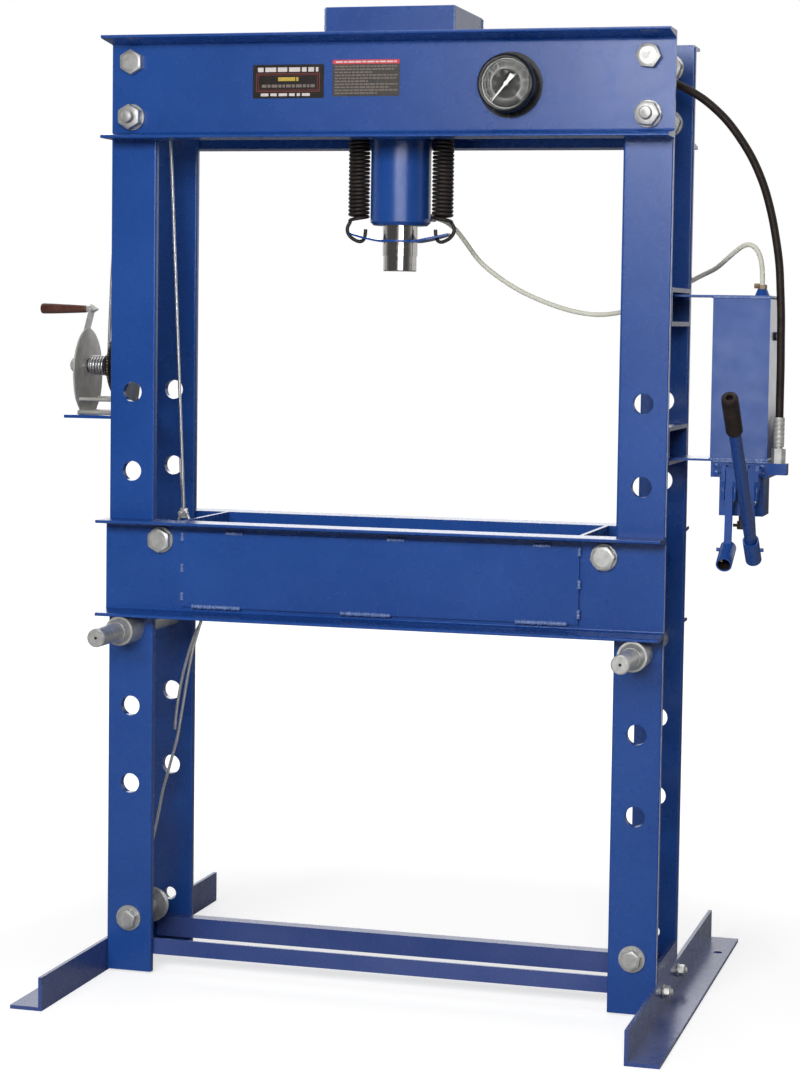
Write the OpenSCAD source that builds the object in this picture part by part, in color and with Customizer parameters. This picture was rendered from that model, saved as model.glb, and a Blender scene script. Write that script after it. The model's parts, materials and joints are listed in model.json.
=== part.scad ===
// Hydraulic frame press with a winch-raised bed, a hand pump and a pressure gauge.
// Millimetres, +Z up. X runs along the bed, +Y is the back, Z = 0 is the floor.
// The origin is on the floor, midway between the ends of the feet and midway
// between the outermost points of the pump side and the winch side.

/* [Frame] */
// distance between the left and right pin hole columns
col_pitch = 996; // [800:1:1200]
// width of each upright bar
col_w = 92; // [70:1:120]
// thickness of each upright bar
col_t = 16; // [8:1:25]
// top of the uprights above the floor
col_top = 1799; // [1500:1:2200]
// bottom of the uprights above the floor
col_bottom = 4; // [0:1:20]
// clear gap between the front and rear uprights
col_gap = 202; // [150:1:260]
// diameter of the pin holes
pin_hole_d = 38; // [25:1:50]
// height of the lowest pin hole
pin_hole_low = 373; // [250:1:500]
// vertical pitch of the pin holes
pin_pitch = 152; // [100:1:200]
// number of pin holes in each upright
pin_holes = 6; // [3:1:9]
// clearance hole of the large bolts
bolt_hole_d = 26; // [20:1:32]
// height of the base bolt holes
base_bolt_z = 108; // [70:1:160]

/* [Head] */
// length of the head channels
head_l = 1085; // [900:1:1300]
// how far the head channels sit to the right of the uprights' middle
head_shift = 4; // [-10:1:10]
// how far the rear channels of head and bed sit to the left of the front ones
rear_shift = 8; // [0:1:20]
// height of the head channels
head_h = 192; // [150:1:240]
// underside of the head channels above the floor
head_z = 1613; // [1300:1:1900]
// flange width of the head channels
head_b = 69; // [35:1:90]
// web thickness of all channels
web_t = 8; // [5:1:12]
// flange thickness of all channels at the toe
toe_t = 6; // [4:1:10]
// flange thickness of the head channels at the web
head_root_t = 12; // [8:1:16]
// distance from the front uprights' outer face back to the box on the head
box_back = 25; // [0:1:60]
// height of the box above the head
box_h = 56; // [30:1:100]
// width of the box on the head
box_w = 250; // [180:1:320]

/* [Bed] */
// length of the bed channels
bed_l = 1092; // [900:1:1300]
// height of the bed channels
bed_h = 184; // [140:1:240]
// flange thickness of the bed channels at the web
bed_root_t = 10; // [8:1:14]
// flange width of the bed channels
bed_b = 64; // [35:1:90]
// distance between the two bed bolts
bed_bolt_pitch = 866; // [700:1:1000]
// distance from each bed bolt to the near end of the doubler plates
doubler_gap = 45; // [35:1:120]

/* [Support pins] */
// diameter of the pin shaft
pin_d = 37; // [24:1:48]
// diameter of the collar the bed rests on
collar_d = 56; // [45:1:80]
// diameter of the pin's front end
pin_nose_d = 35; // [20:1:36]
// how far the pin stands out in front of the uprights
pin_out = 172; // [100:1:220]

/* [Cylinder] */
// outside diameter of the cylinder
cyl_d = 115; // [80:1:160]
// lower end of the cylinder above the floor
cyl_z = 1458; // [1350:1:1550]
// diameter of the ram
ram_d = 67; // [45:1:90]
// lower end of the ram above the floor
ram_z = 1371; // [1250:1:1450]
// diameter of the ram nose
nose_d = 64; // [40:1:88]
// working stroke of the ram
stroke = 150; // [100:1:200]
// outside diameter of the return springs
spring_d = 41; // [30:1:55]
// wire diameter of the return springs
spring_wire = 6.4; // [4:0.1:8]
// distance of the spring axes from the ram axis
spring_x = 83; // [75:1:100]

/* [Gauge] */
// diameter of the gauge bezel
gauge_d = 106; // [63:1:160]
// gauge position along the head
gauge_x = 242; // [180:1:320]
// gauge centre above the floor
gauge_z = 1710; // [1650:1:1760]

/* [Feet] */
// leg width of the foot angles
foot_b = 63; // [50:1:90]
// thickness of the foot angles
foot_t = 7; // [5:1:10]
// reach of the feet in front of the frame's mid-plane
foot_front = 422; // [300:1:500]
// reach of the feet behind the frame's mid-plane
foot_rear = 498; // [300:1:600]

/* [Pump] */
// width of the oil tank
tank_w = 105; // [80:1:140]
// depth of the oil tank
tank_d = 104; // [80:1:140]
// underside of the oil tank above the floor
tank_z = 1033; // [900:1:1150]
// height of the oil tank
tank_h = 296; // [200:1:400]
// left face of the tank from the frame centre
tank_x = 612; // [580:1:660]
// forward lean of the pump handle
handle_tilt = 48; // [20:1:70]
// length of the pump handle with its socket and grip
handle_l = 456; // [350:1:600]
// diameter of the pump handle's tube
handle_d = 22; // [20:1:32]

/* [Winch] */
// height of the winch axis above the floor
winch_z = 1180; // [1100:1:1250]
// length of the crank arm
crank_l = 131; // [80:1:200]
// lean of the crank arm to the back
crank_deg = 32; // [0:1:90]

/* [Reach] */
// distance from the uprights' middle to the end of the crank grip
grip_reach = 771; // [700:1:820]
// distance from the uprights' middle to the outer face of the pump's outlet block
pump_reach = 754; // [700:1:820]

/* [Hidden] */

cx = col_pitch/2;
yi = col_gap/2;              // inner faces of the uprights
yo = yi + col_t;             // outer faces of the uprights
frame_x = (grip_reach - pump_reach)/2;
frame_y = (foot_front - foot_rear)/2;
pin_z = pin_hole_low + 2*pin_pitch;
bed_z = pin_z + collar_d/2;
bed_y = yo + 1;
head_top = head_z + head_h;
box_front = -yo + box_back;
bz1 = head_z + 43;
bz2 = head_top - 45;
xo = cx + col_w/2;           // outer sides of the uprights
side_gap = 0.3;              // rest gap between parts of different bodies
run_gap = 0.05;              // radial running clearance
join = 0.01;                 // sinks one solid of a part into the next
// bolts: shank radius, hexagon's corner radius, head height, nut height, washer radius, washer thickness
m24 = [12, 23.7, 15, 20, 25, 4];
m14 = [7, 11.5, 8, 11, 13, 2.5];
base_hex_r = 19.5;
foot_stud = 6;
m10 = [5, 9.8, 9, 8, 0, 0];
stud_out = 12;               // thread that stands out of an outer nut

// base
foot_bolt_y = yi - 21;
foot_bolt_z = 42;
tie_t = 8;
tie_z = [8, 94];
bar_t = 5;
bar_reach = cx + 16;
bar_top = 67;
front_bar_low = 36;
rear_bar_low = 27;
rear_bar_d = 28;
anchor_x = 40;
anchor_back = 125;
anchor_r = 9;

// bed
bed_bolt_x = bed_bolt_pitch/2;
bed_bolt_z = bed_z + 146;
doubler_t = 6;
doubler_l = bed_bolt_pitch - 2*doubler_gap;
doubler_z = [bed_z + 20, bed_z + bed_h - 21];
doubler_weld_l = 100;
cross_t = 8;
sleeve_r = 18;
head_fillet_r = 5;
bed_fillet_r = 3;
collar_l = 60;
neck_l = 14;
pin_back = yo + collar_l + 8;

// cylinder and ram
cheek_t = 8;
cyl_top = head_top + box_h - cheek_t;
cyl_bore_r = cyl_d/2 - 17.5;
cyl_flange_r = cyl_d/2 + 12.5;
carrier_z = head_z + 87;
carrier_t = 25;
barrel_flange_t = 20;
nut_h = 22;
gland_h = 60;
piston_z = cyl_z + gland_h + stroke + 22;
port_y = -17;
port_z = carrier_z + 65;
low_port_z = cyl_z + 17;
low_port_reach = 54*sqrt(2);
nose_h = 29;
strap_z = ram_z + 57;
strap_t = 4;
strap_flat = ram_d/2;
strap_end = spring_x + 14;
strap_rise = 14;
spigot_r = 22;
spigot_z = ram_z + 8;
strap_hole_x = spring_x - 12;
strap_hole_r = spring_wire/2 + 2.4;
spring_low = cyl_z + 17;
spring_top = carrier_z - 40;
spring_pitch = spring_wire + 1.1;
boss_r = 8;
needle_deg = 219;

// pump
bracket_d = 60;
bracket_h = 70;
bracket_t = 8;
plate_t = 4;
tank_t = 3;
bracket_lo = tank_z - plate_t - bracket_t;
bracket_hi = tank_z + tank_h - 54;
lug_bolt_lo = tank_z + 18;
lug_bolt_hi = tank_z + tank_h - 16;
lug_h = 44;
fill_x = tank_x + 82;
fill_r = 5;
fill_h = 12;
feed_r = 8;
plug_y = 16;
plug_z = tank_z + tank_h - 70;
plug_r = 5;
base_h = 29;
base_z = tank_z - plate_t - base_h;
pump_d = 80;
pump_h = 71;
lever_lug_t = 7;
lever_xs = [tank_x + 40, tank_x + 80];
lever_w = 13;
lever_t = 10;
lever_y = -70;
lever_z = base_z + 12;
lever_pin_r = 4;
lug_outline = [[lever_y - 9, -6], [lever_y - 9, 14], [lever_y, 23], [-tank_d/2 + join, 23], [-tank_d/2 + join, 4],
  [-pump_d/2 + join, 4], [-pump_d/2 + join, -12], [lever_y + 12, -20], [lever_y - 3, -20]];
plunger_z = base_z - 45;
plunger_r = 8;
release_r = 5;
release_x = tank_x + 56;
release_y = -20;
handle_r = handle_d/2;
handle_base = [tank_x + 86, lever_y + 8, base_z - 148.5];
left_socket_base = [tank_x + 39, lever_y + 10, base_z - 128];
left_socket_tilt = 118;
socket_r = 14.8;
socket_l = 58;
socket_end = 8;
socket_bore_r = handle_r + 0.9;
screw_r = 3.5;
screw_out = 6;
grip_r = 14.8;
grip_l = 90;
grip_end = 8;

// winch and cables
winch_base_z = winch_z - 95;
shaft_r = 8;
drum_r = 14;
cable_r = 3;
coil_x0 = -635;
coil_turns = 6;
disc_r = 62;
disc_x = -576;
disc_t = 4;
inner_flange_r = 22;
plate_xs = [-642, -560];
platform_out = 103;
platform_t = 6;
arm_x = -665;
arm_t = 6;
cap_l = 15;
grip_x0 = -grip_reach;
grip_gap = 8;
spindle_r = 4;
sheave_x = -525;
sheave_z = head_z + 77;
sheave_r = 50;
sheave_w = 14;
axle_r = 10;
low_sheave_r = 27;

// hoses: hand-set routes, each ending on its fittings
hose_r = 7.4;
hose_end = [737, -45, 1112];
ferrule_l = 54;
nut_z = hose_end[2] - ferrule_l - 30;
hose_route = [[95, -17, 1765], [150, -17, 1765], [205, -17, 1762], [260, -17, 1758], [320, -17, 1753], [380, -17, 1748],
  [430, -17, 1742], [480, -17, 1734], [525, -17, 1721], [563, -17, 1702], [592, -17, 1682], [625, -18, 1651],
  [654, -19, 1613], [677, -21, 1575], [697, -23, 1529], [712, -26, 1478], [723, -30, 1425], [729, -34, 1386],
  [732, -37, 1347], [735, -41, 1298], [736, -43, 1250], [737, -45, 1205], [737, -45, 1158], hose_end];
return_r = 4.5;
return_route = [[54, 54, 1475], [58, 58, 1475], [66, 66, 1473], [77, 79, 1465], [88, 95, 1451], [98, 111, 1434], [109, 126, 1414],
  [122, 137, 1394], [146, 142, 1374], [177, 142, 1353], [208, 142, 1336], [243, 142, 1321], [280, 142, 1308],
  [320, 142, 1298], [362, 142, 1294], [405, 141, 1300], [440, 140, 1311], [475, 140, 1327], [510, 140, 1345],
  [542, 139, 1363], [563, 128, 1373], [582, 108, 1380], [597, 82, 1386], [611, 55, 1394], [627, 32, 1405],
  [645, 15, 1418], [660, 5, 1429], [672, 0, 1431], [682, 0, 1424], [689, 0, 1410], [692, 0, 1394], [694, 0, 1376], [694, 0, 1354]];
lift_from = [-bed_bolt_x - 3, 0, bed_bolt_z + 53];
lift_to = [-472, 0, 1692];
clamp_x = -doubler_l/2 - 11;
clamp_z = bed_z - 25;
lower_route = [[clamp_x, 0, clamp_z], [clamp_x, 0, clamp_z - 3], [-412, 0, 633], [-420, 0, 596], [-426, 0, 563], [-431, 0, 532], [-436, 0, 502],
  [-441, 0, 472], [-447, 0, 440], [-457, 0, 405], [-466, 0, 372], [-475, 0, 340], [-481, 0, 310], [-487, 0, 279],
  [-497, 0, 234], [-506, 0, 198], [-516, 0, 158]];
lower_tail = [[clamp_x - 2, 8, clamp_z], [clamp_x - 2, 8, clamp_z - 3], [-408, 8, 664], [-417, 8, 643], [-427, 8, 612], [-436, 8, 580], [-440, 8, 562],
  [-445, 8, 537], [-449, 8, 512], [-452, 8, 487], [-454, 8, 462]];
lift_tail = [[-440, 7, lift_from[2] - 4], [-442, 8, 935], [-445, 8, 968], [-447, 9, 1000]];
blue = [0.10, 0.20, 0.50];
zinc = [0.72, 0.72, 0.70];
steel = [0.60, 0.60, 0.60];
black = [0.06, 0.06, 0.06];

module P() { translate([frame_x, frame_y, 0]) children(); }
module ycyl(r, y0, y1, x, z, n=40) { translate([x, y0, z]) rotate([-90, 0, 0]) cylinder(r=r, h=y1-y0, $fn=n); }
module xcyl(r, x0, x1, y, z, n=40) { translate([x0, y, z]) rotate([0, 90, 0]) cylinder(r=r, h=x1-x0, $fn=n); }
module zcyl(r, x, y, z0, z1, n=40) { translate([x, y, z0]) cylinder(r=r, h=z1-z0, $fn=n); }
module box(x0, x1, y0, y1, z0, z1) { translate([x0, y0, z0]) cube([x1-x0, y1-y0, z1-z0]); }

// tube swept along a list of points
function unit(v) = v/norm(v);
function tang(p, i) = unit(p[min(i+1, len(p)-1)] - p[max(i-1, 0)]);
function perp(v, t) = unit(v - (v*t)*t);
function frames(p, n0, i=0, acc=[]) = i >= len(p) ? acc :
  let(nn = perp(i == 0 ? n0 : acc[i-1], tang(p, i))) frames(p, n0, i+1, concat(acc, [nn]));
module sweep(p, r, n=8, n0=[0, 1, 0]) {
  f = frames(p, n0);
  pts = [for (i = [0:len(p)-1]) let(t = tang(p, i), a = f[i], b = cross(t, a))
    for (j = [0:n-1]) p[i] + r*(cos(360*j/n)*a + sin(360*j/n)*b)];
  fc = [for (i = [0:len(p)-2], j = [0:n-1], k = [0:1]) let(j2 = (j+1)%n)
    k == 0 ? [i*n+j, (i+1)*n+j, i*n+j2] : [i*n+j2, (i+1)*n+j, (i+1)*n+j2]];
  polyhedron(points=pts, faces=concat(fc, [[for (j = [0:n-1]) j]], [[for (j = [n-1:-1:0]) (len(p)-1)*n+j]]), convexity=6);
}
// smooth curve through control points, each followed by the next
function cr(a, b, c, d, t) = 0.5*((2*b) + (c-a)*t + (2*a-5*b+4*c-d)*t*t + (3*b-a-3*c+d)*t*t*t);
function spline(q, m) = concat([for (i = [0:len(q)-2], k = [0:m-1])
  cr(q[max(i-1, 0)], q[i], q[i+1], q[min(i+2, len(q)-1)], k/m)], [q[len(q)-1]]);

// rolled channel section in the Y-Z plane, flanges towards -Y when s = -1. The flanges taper from root to toe
module channel(l, h, b, root, r, y, z, s) {
  arc1 = [for (k = [0:4]) [web_t + r - r*cos(90 - 22.5*k), root + r - r*sin(90 - 22.5*k)]];
  toe = [[b - 1, 0], [b, 1], [b, toe_t - 3.5], [b - 0.9, toe_t - 1.2], [b - 3.5, toe_t]];
  half = concat([[0, 0]], toe, arc1);
  pr = concat(half, [for (k = [len(half)-1:-1:0]) [half[k][0], h - half[k][1]]]);
  pts = [for (q = pr) [y + s*q[0], z + q[1]]];
  translate([-l/2, 0, 0]) rotate([90, 0, 90]) linear_extrude(height=l) polygon(pts);
}

// upright bar with rounded long edges
module column(sx, sy) color(blue) P() {
  r = 4;
  x0 = sx*cx - col_w/2;
  y0 = sy < 0 ? -yo : yi;
  difference() {
    union() {
      box(x0 + r, x0 + col_w - r, y0, y0 + col_t, col_bottom, col_top);
      box(x0, x0 + col_w, y0 + r, y0 + col_t - r, col_bottom, col_top);
      for (a = [x0 + r, x0 + col_w - r], b = [y0 + r, y0 + col_t - r]) zcyl(r, a, b, col_bottom, col_top, 24);
    }
    for (k = [0:pin_holes-1]) ycyl(pin_hole_d/2, y0 - 1, y0 + col_t + 1, sx*cx, pin_hole_low + k*pin_pitch);
    for (z = [base_bolt_z, bz1, bz2]) ycyl(bolt_hole_d/2, y0 - 1, y0 + col_t + 1, sx*cx, z);
  }
}
module column_front_left() column(-1, -1);
module column_front_right() column(1, -1);
module column_rear_left() column(-1, 1);
module column_rear_right() column(1, 1);

module head_channel(s) color(blue) P() difference() {
  translate([head_shift - (s > 0 ? rear_shift : 0), 0, 0])
    channel(head_l, head_h, head_b, head_root_t, head_fillet_r, s*yo, head_z, s);
  for (x = [-cx, cx], z = [bz1, bz2]) ycyl(bolt_hole_d/2, s < 0 ? -yo - web_t - 1 : yo - 1, s < 0 ? -yo + 1 : yo + web_t + 1, x, z);
  if (s < 0) ycyl(7.2, -yo - web_t - 1, -yo + 1, gauge_x, gauge_z);
}
module head_channel_front() head_channel(-1);
module head_channel_rear() head_channel(1);

// two cheeks between the channels with a plate that carries the cylinder and a lid box above
module head_box() color(blue) P() {
  t = cheek_t;
  difference() {
    for (s = [-1, 1]) box(s < 0 ? -box_w/2 : box_w/2 - t, s < 0 ? -box_w/2 + t : box_w/2, -yo, yo, head_z + 12, head_top + box_h);
    box(-box_w/2 - 1, box_w/2 + 1, -yo - 1, box_front, head_top, head_top + box_h + 1);
    xcyl(14, box_w/2 - t - 1, box_w/2 + 1, port_y, port_z, 32);
  }
  box(-box_w/2 + t - join, box_w/2 - t + join, box_front, yo, head_top + box_h - t, head_top + box_h);
  for (s = [-1, 1])
    box(-box_w/2 + t - join, box_w/2 - t + join, s < 0 ? box_front : yo - t, s < 0 ? box_front + t : yo, head_top, head_top + box_h - t + join);
  difference() {
    union() {
      box(-box_w/2 + t - join, box_w/2 - t + join, -yo, yo, carrier_z, carrier_z + carrier_t);
      for (x = [-spring_x, spring_x]) zcyl(boss_r, x, 0, spring_top + 12, carrier_z + join, 32);
    }
    zcyl(cyl_d/2 + 0.1, 0, 0, carrier_z - 1, carrier_z + carrier_t + 1, 64);
    for (x = [-spring_x, spring_x]) zcyl(spring_wire/2 + 0.4, x, 0, spring_top + 11, spring_top + 30, 24);
  }
}

// large bolt along Y. y is the clamped face on the outer side, g the grip length, s the side that face looks to.
// With nut_out the nut is outside on a washer, otherwise the head bears on the plate itself
module big_bolt(x, z, y, g, s, nut_out=false) {
  wt = m24[5];
  translate([x, y, z]) rotate([s < 0 ? 90 : -90, 0, 0]) {
    if (nut_out) {
      cylinder(r=m24[4], h=wt, $fn=40);
      translate([0, 0, wt]) cylinder(r=m24[1], h=m24[3], $fn=6);
      cylinder(r=m24[0], h=wt + m24[3] + stud_out, $fn=32);
    } else cylinder(r=m24[1], h=m24[2], $fn=6);
    translate([0, 0, -g]) cylinder(r=m24[0], h=g + 1, $fn=32);
    translate([0, 0, -g - wt]) cylinder(r=m24[4], h=wt, $fn=40);
    if (nut_out) translate([0, 0, -g - wt - m24[2]]) cylinder(r=m24[1], h=m24[2], $fn=6);
    else {
      translate([0, 0, -g - wt - m24[3]]) cylinder(r=m24[1], h=m24[3], $fn=6);
      translate([0, 0, -g - wt - m24[3] - stud_out]) cylinder(r=m24[0], h=stud_out + m24[3] + wt, $fn=32);
    }
  }
}
module head_bolts() for (x = [-cx, cx], k = [0, 1]) {
  big_bolt(x, k == 0 ? bz1 : bz2, -yo - web_t, web_t + col_t, -1, k == 0);
  big_bolt(x, k == 0 ? bz1 : bz2, yo + web_t, web_t + col_t, 1);
}

// flat bar behind the front uprights, angle bar before the rear ones, and a tie plate on each side
module cross_bars() color(blue) P() {
  box(-bar_reach, bar_reach, -yi, -yi + bar_t, front_bar_low, bar_top);
  box(-bar_reach, bar_reach, yi - rear_bar_d, yi - rear_bar_d + bar_t, rear_bar_low, bar_top);
  box(-bar_reach, bar_reach, yi - rear_bar_d + bar_t - join, yi, bar_top - bar_t, bar_top);
  for (s = [-1, 1]) difference() {
    box(s < 0 ? -xo : xo - tie_t, s < 0 ? -xo + tie_t : xo, -yi, yi, tie_z[0], tie_z[1]);
    for (y = [-foot_bolt_y, foot_bolt_y])
      xcyl(m14[0] + 0.5, s < 0 ? -xo - 1 : xo - tie_t - 1, s < 0 ? -xo + tie_t + 1 : xo + 1, y, foot_bolt_z, 32);
  }
}

module foot(s) color(blue) P() {
  x = s*xo;
  difference() {
    union() {
      box(min(x, x + s*foot_t), max(x, x + s*foot_t), -foot_front, foot_rear, 0, foot_b);
      box(min(x, x + s*foot_b), max(x, x + s*foot_b), -foot_front, foot_rear, 0, foot_t);
    }
    zcyl(anchor_r, s*(xo + anchor_x), foot_rear - anchor_back, -1, foot_t + 1, 32);
    for (y = [-foot_bolt_y, foot_bolt_y]) xcyl(m14[0] + 0.5, s < 0 ? x - foot_t - 1 : x - 1, s < 0 ? x + 1 : x + foot_t + 1, y, foot_bolt_z, 32);
  }
}
module foot_left() foot(-1);
module foot_right() foot(1);

// M14 bolts that hold each foot and its tie plate together, nut outside
module foot_bolts() for (s = [-1, 1], y = [-foot_bolt_y, foot_bolt_y]) {
  xa = xo + foot_t;
  xb = xo - tie_t;
  translate([0, y, foot_bolt_z]) rotate([0, s*90, 0]) {
    translate([0, 0, xa]) cylinder(r=m14[4], h=m14[5], $fn=32);
    translate([0, 0, xa + m14[5]]) cylinder(r=m14[1], h=m14[3], $fn=6);
    translate([0, 0, xb - 1]) cylinder(r=m14[0], h=xa + m14[5] + m14[3] + foot_stud - xb + 1, $fn=32);
    translate([0, 0, xb - m14[2]]) cylinder(r=m14[1], h=m14[2], $fn=6);
  }
}

// base bolts: the left one is long, with a sleeve, and carries the lower sheave
module base_bolts() {
  nut_y = sheave_w/2 + side_gap;
  for (s = [-1, 1]) {
    ycyl(m24[4], -yo - m24[5], -yo, s*cx, base_bolt_z);
    translate([s*cx, -yo - m24[5], base_bolt_z]) rotate([90, 0, 0]) cylinder(r=base_hex_r, h=m24[2], $fn=6);
  }
  ycyl(m24[0], -yo - m24[5], nut_y + m24[3] + stud_out, -cx, base_bolt_z, 32);
  ycyl(m24[0], -yo - m24[5], -yi + m24[5] + m24[3] + stud_out, cx, base_bolt_z, 32);
  ycyl(m24[0] + 4, -yi, -nut_y, -cx, base_bolt_z);
  translate([-cx, nut_y, base_bolt_z]) rotate([-90, 0, 0]) cylinder(r=m24[1], h=m24[3], $fn=6);
  translate([cx, -yi, base_bolt_z]) rotate([-90, 0, 0]) {
    cylinder(r=m24[4], h=m24[5], $fn=40);
    translate([0, 0, m24[5]]) cylinder(r=m24[1], h=m24[3], $fn=6);
  }
}

module frame_bolts() color(zinc) P() {
  head_bolts();
  base_bolts();
}

// bed: two channels, a doubler plate on each, two cross plates and two through bolts
module bed_channel(s) color(blue) P() difference() {
  translate([s > 0 ? -rear_shift : 0, 0, 0])
    channel(bed_l, bed_h, bed_b, bed_root_t, bed_fillet_r, s*bed_y, bed_z, s);
  for (x = [-bed_bolt_x, bed_bolt_x])
    ycyl(bolt_hole_d/2, s < 0 ? -bed_y - web_t - 1 : bed_y - 1, s < 0 ? -bed_y + 1 : bed_y + web_t + 1, x, bed_bolt_z);
}
module bed_channel_front() bed_channel(-1);
module bed_channel_rear() bed_channel(1);

module bed_doublers() for (s = [-1, 1]) {
  y = s < 0 ? -bed_y - web_t - doubler_t : bed_y + web_t;
  box(-doubler_l/2, doubler_l/2, y, y + doubler_t, doubler_z[0], doubler_z[1]);
  for (x = [-doubler_l/2 + 20, -doubler_weld_l/2 - 20, doubler_l/2 - 20 - doubler_weld_l])
    xcyl(3, x, x + doubler_weld_l, s*(bed_y + web_t + doubler_t - 1), doubler_z[0] + 0.5, 16);
}
module bed_cross_plates() for (s = [-1, 1])
  box(s*doubler_l/2 - cross_t/2, s*doubler_l/2 + cross_t/2, -bed_y, bed_y, bed_z + bed_root_t, bed_z + bed_h);
module bed_plates() color(blue) P() {
  bed_doublers();
  bed_cross_plates();
}

module bed_bolts() color(zinc) P() for (x = [-bed_bolt_x, bed_bolt_x]) {
  y = bed_y + web_t;
  wt = m24[5];
  ycyl(m24[4], -y - wt, -y, x, bed_bolt_z);
  translate([x, -y - wt, bed_bolt_z]) rotate([90, 0, 0]) cylinder(r=m24[1], h=m24[2], $fn=6);
  ycyl(m24[0], -y - wt, y + wt + m24[3] + stud_out, x, bed_bolt_z, 32);
  ycyl(m24[4], y, y + wt, x, bed_bolt_z);
  translate([x, y + wt, bed_bolt_z]) rotate([-90, 0, 0]) cylinder(r=m24[1], h=m24[3], $fn=6);
}
module bed_sleeves() color(zinc) P() for (x = [-bed_bolt_x, bed_bolt_x]) difference() {
  ycyl(sleeve_r, -bed_y, bed_y, x, bed_bolt_z);
  ycyl(m24[0] + 0.1, -bed_y - 1, bed_y + 1, x, bed_bolt_z);
}

// pin with a fixed front collar; the rear collar is a loose ring pushed on from behind
module support_pin(s) color(zinc) P() {
  x = s*cx;
  nose_y = -yo - pin_out + 2;
  ycyl(pin_d/2, -yo - 20, pin_back, x, pin_z);
  translate([x, pin_back, pin_z]) rotate([-90, 0, 0]) cylinder(r1=pin_d/2, r2=pin_d/2 - 3, h=3, $fn=40);
  ycyl(collar_d/2, -yo - collar_l, -yo - side_gap, x, pin_z, 48);
  translate([x, -yo - collar_l, pin_z]) rotate([90, 0, 0]) cylinder(r1=collar_d/2 - 4, r2=pin_nose_d/2 + 1, h=neck_l, $fn=48);
  ycyl(pin_nose_d/2, nose_y, -yo - collar_l - neck_l, x, pin_z);
  translate([x, nose_y, pin_z]) rotate([90, 0, 0]) cylinder(r1=pin_nose_d/2, r2=pin_nose_d/2 - 2, h=2, $fn=40);
}
module support_pin_left() support_pin(-1);
module support_pin_right() support_pin(1);
module rear_collars() color(zinc) P() for (s = [-1, 1]) difference() {
  ycyl(collar_d/2, yo + side_gap, yo + collar_l, s*cx, pin_z, 48);
  ycyl(pin_d/2 + 0.1, yo - 1, yo + collar_l + 1, s*cx, pin_z);
}

// cylinder barrel: closed top, flange under the carrier plate, gland at the bottom
module cylinder_barrel() color(blue) P() difference() {
  union() {
    zcyl(cyl_d/2, 0, 0, cyl_z + 6, cyl_top, 64);
    translate([0, 0, cyl_z]) cylinder(r1=cyl_d/2 - 6, r2=cyl_d/2, h=6, $fn=64);
    zcyl(cyl_flange_r, 0, 0, carrier_z - barrel_flange_t, carrier_z, 64);
    xcyl(13, 0, cyl_d/2 + 12, port_y, port_z, 32);
    translate([0, 0, low_port_z]) rotate([0, 0, 45]) rotate([0, 90, 0]) cylinder(r=9, h=cyl_d/2 + 6, $fn=32);
  }
  zcyl(cyl_bore_r, 0, 0, cyl_z + gland_h, cyl_top - 20, 64);
  zcyl(ram_d/2 + run_gap, 0, 0, cyl_z - 1, cyl_z + gland_h + 1, 64);
  xcyl(5, 0, cyl_d/2 + 13, port_y, port_z, 24);
  translate([0, 0, low_port_z]) rotate([0, 0, 45]) rotate([0, 90, 0]) cylinder(r=4, h=cyl_d/2 + 7, $fn=24);
}
module cylinder_nut() color(zinc) P() difference() {
  zcyl(cyl_flange_r, 0, 0, carrier_z + carrier_t, carrier_z + carrier_t + nut_h, 64);
  zcyl(cyl_d/2 + 0.1, 0, 0, carrier_z, carrier_z + carrier_t + nut_h + 1, 64);
  for (a = [0:60:359]) rotate([0, 0, a]) translate([cyl_flange_r - 4, -4, carrier_z + carrier_t - 1]) cube([6, 8, nut_h + 2]);
}
// ram: piston, rod and a spigot that the strap and the nose fit on
module ram() color(steel) P() {
  zcyl(cyl_bore_r - run_gap, 0, 0, piston_z, piston_z + 30, 64);
  zcyl(ram_d/2, 0, 0, strap_z + strap_t/2, piston_z, 64);
  zcyl(spigot_r, 0, 0, spigot_z, strap_z + strap_t/2, 48);
}
module ram_nose() color(steel) P() difference() {
  union() {
    zcyl(ram_d/2, 0, 0, ram_z + nose_h, strap_z - strap_t/2, 64);
    zcyl(nose_d/2, 0, 0, ram_z + 2, ram_z + nose_h, 64);
    translate([0, 0, ram_z]) cylinder(r1=nose_d/2 - 2, r2=nose_d/2, h=2, $fn=64);
  }
  zcyl(spigot_r + 0.05, 0, 0, spigot_z, strap_z, 48);
}

// return spring: closed coils, a plain hook into the carrier above, and below a C-shaped hook that
// comes up round the end of the strap and down through its hole
hook_route = [[-13.7, 23], [-13.2, 15], [-12, 8], [-9, 2.2], [-4, -0.6], [2, 0], [8, 2.6], [14.5, 6.6],
  [20.6, 13.6], [23, 21], [22, 28.5], [18.5, 34.5]];
module spring(s) color(black) P() {
  rr = (spring_d - spring_wire)/2;
  turns = floor((spring_top - spring_low)/spring_pitch);
  n = 14;
  x = s*spring_x;
  top = spring_low + turns*spring_pitch;
  hook = [for (q = hook_route) [x + s*q[0], 0, strap_z + q[1]]];
  rise_z = strap_z + 38;
  rise = [for (k = [0:6]) [x + s*rr*cos(30*k), -rr*sin(30*k), rise_z + (spring_low - rise_z)*k/7]];
  coil = [for (i = [0:turns*n]) [x - s*rr*cos(360*i/n), rr*sin(360*i/n), spring_low + spring_pitch*i/n]];
  up = [[x - s*rr*0.6, rr*0.3, top + 5], [x - s*rr*0.2, rr*0.15, top + 9], [x, 0, top + 14], [x, 0, spring_top + 26]];
  sweep(concat(hook, rise, coil, up), spring_wire/2, 6, [0, 1, 0]);
}
module spring_left() spring(-1);
module spring_right() spring(1);

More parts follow.
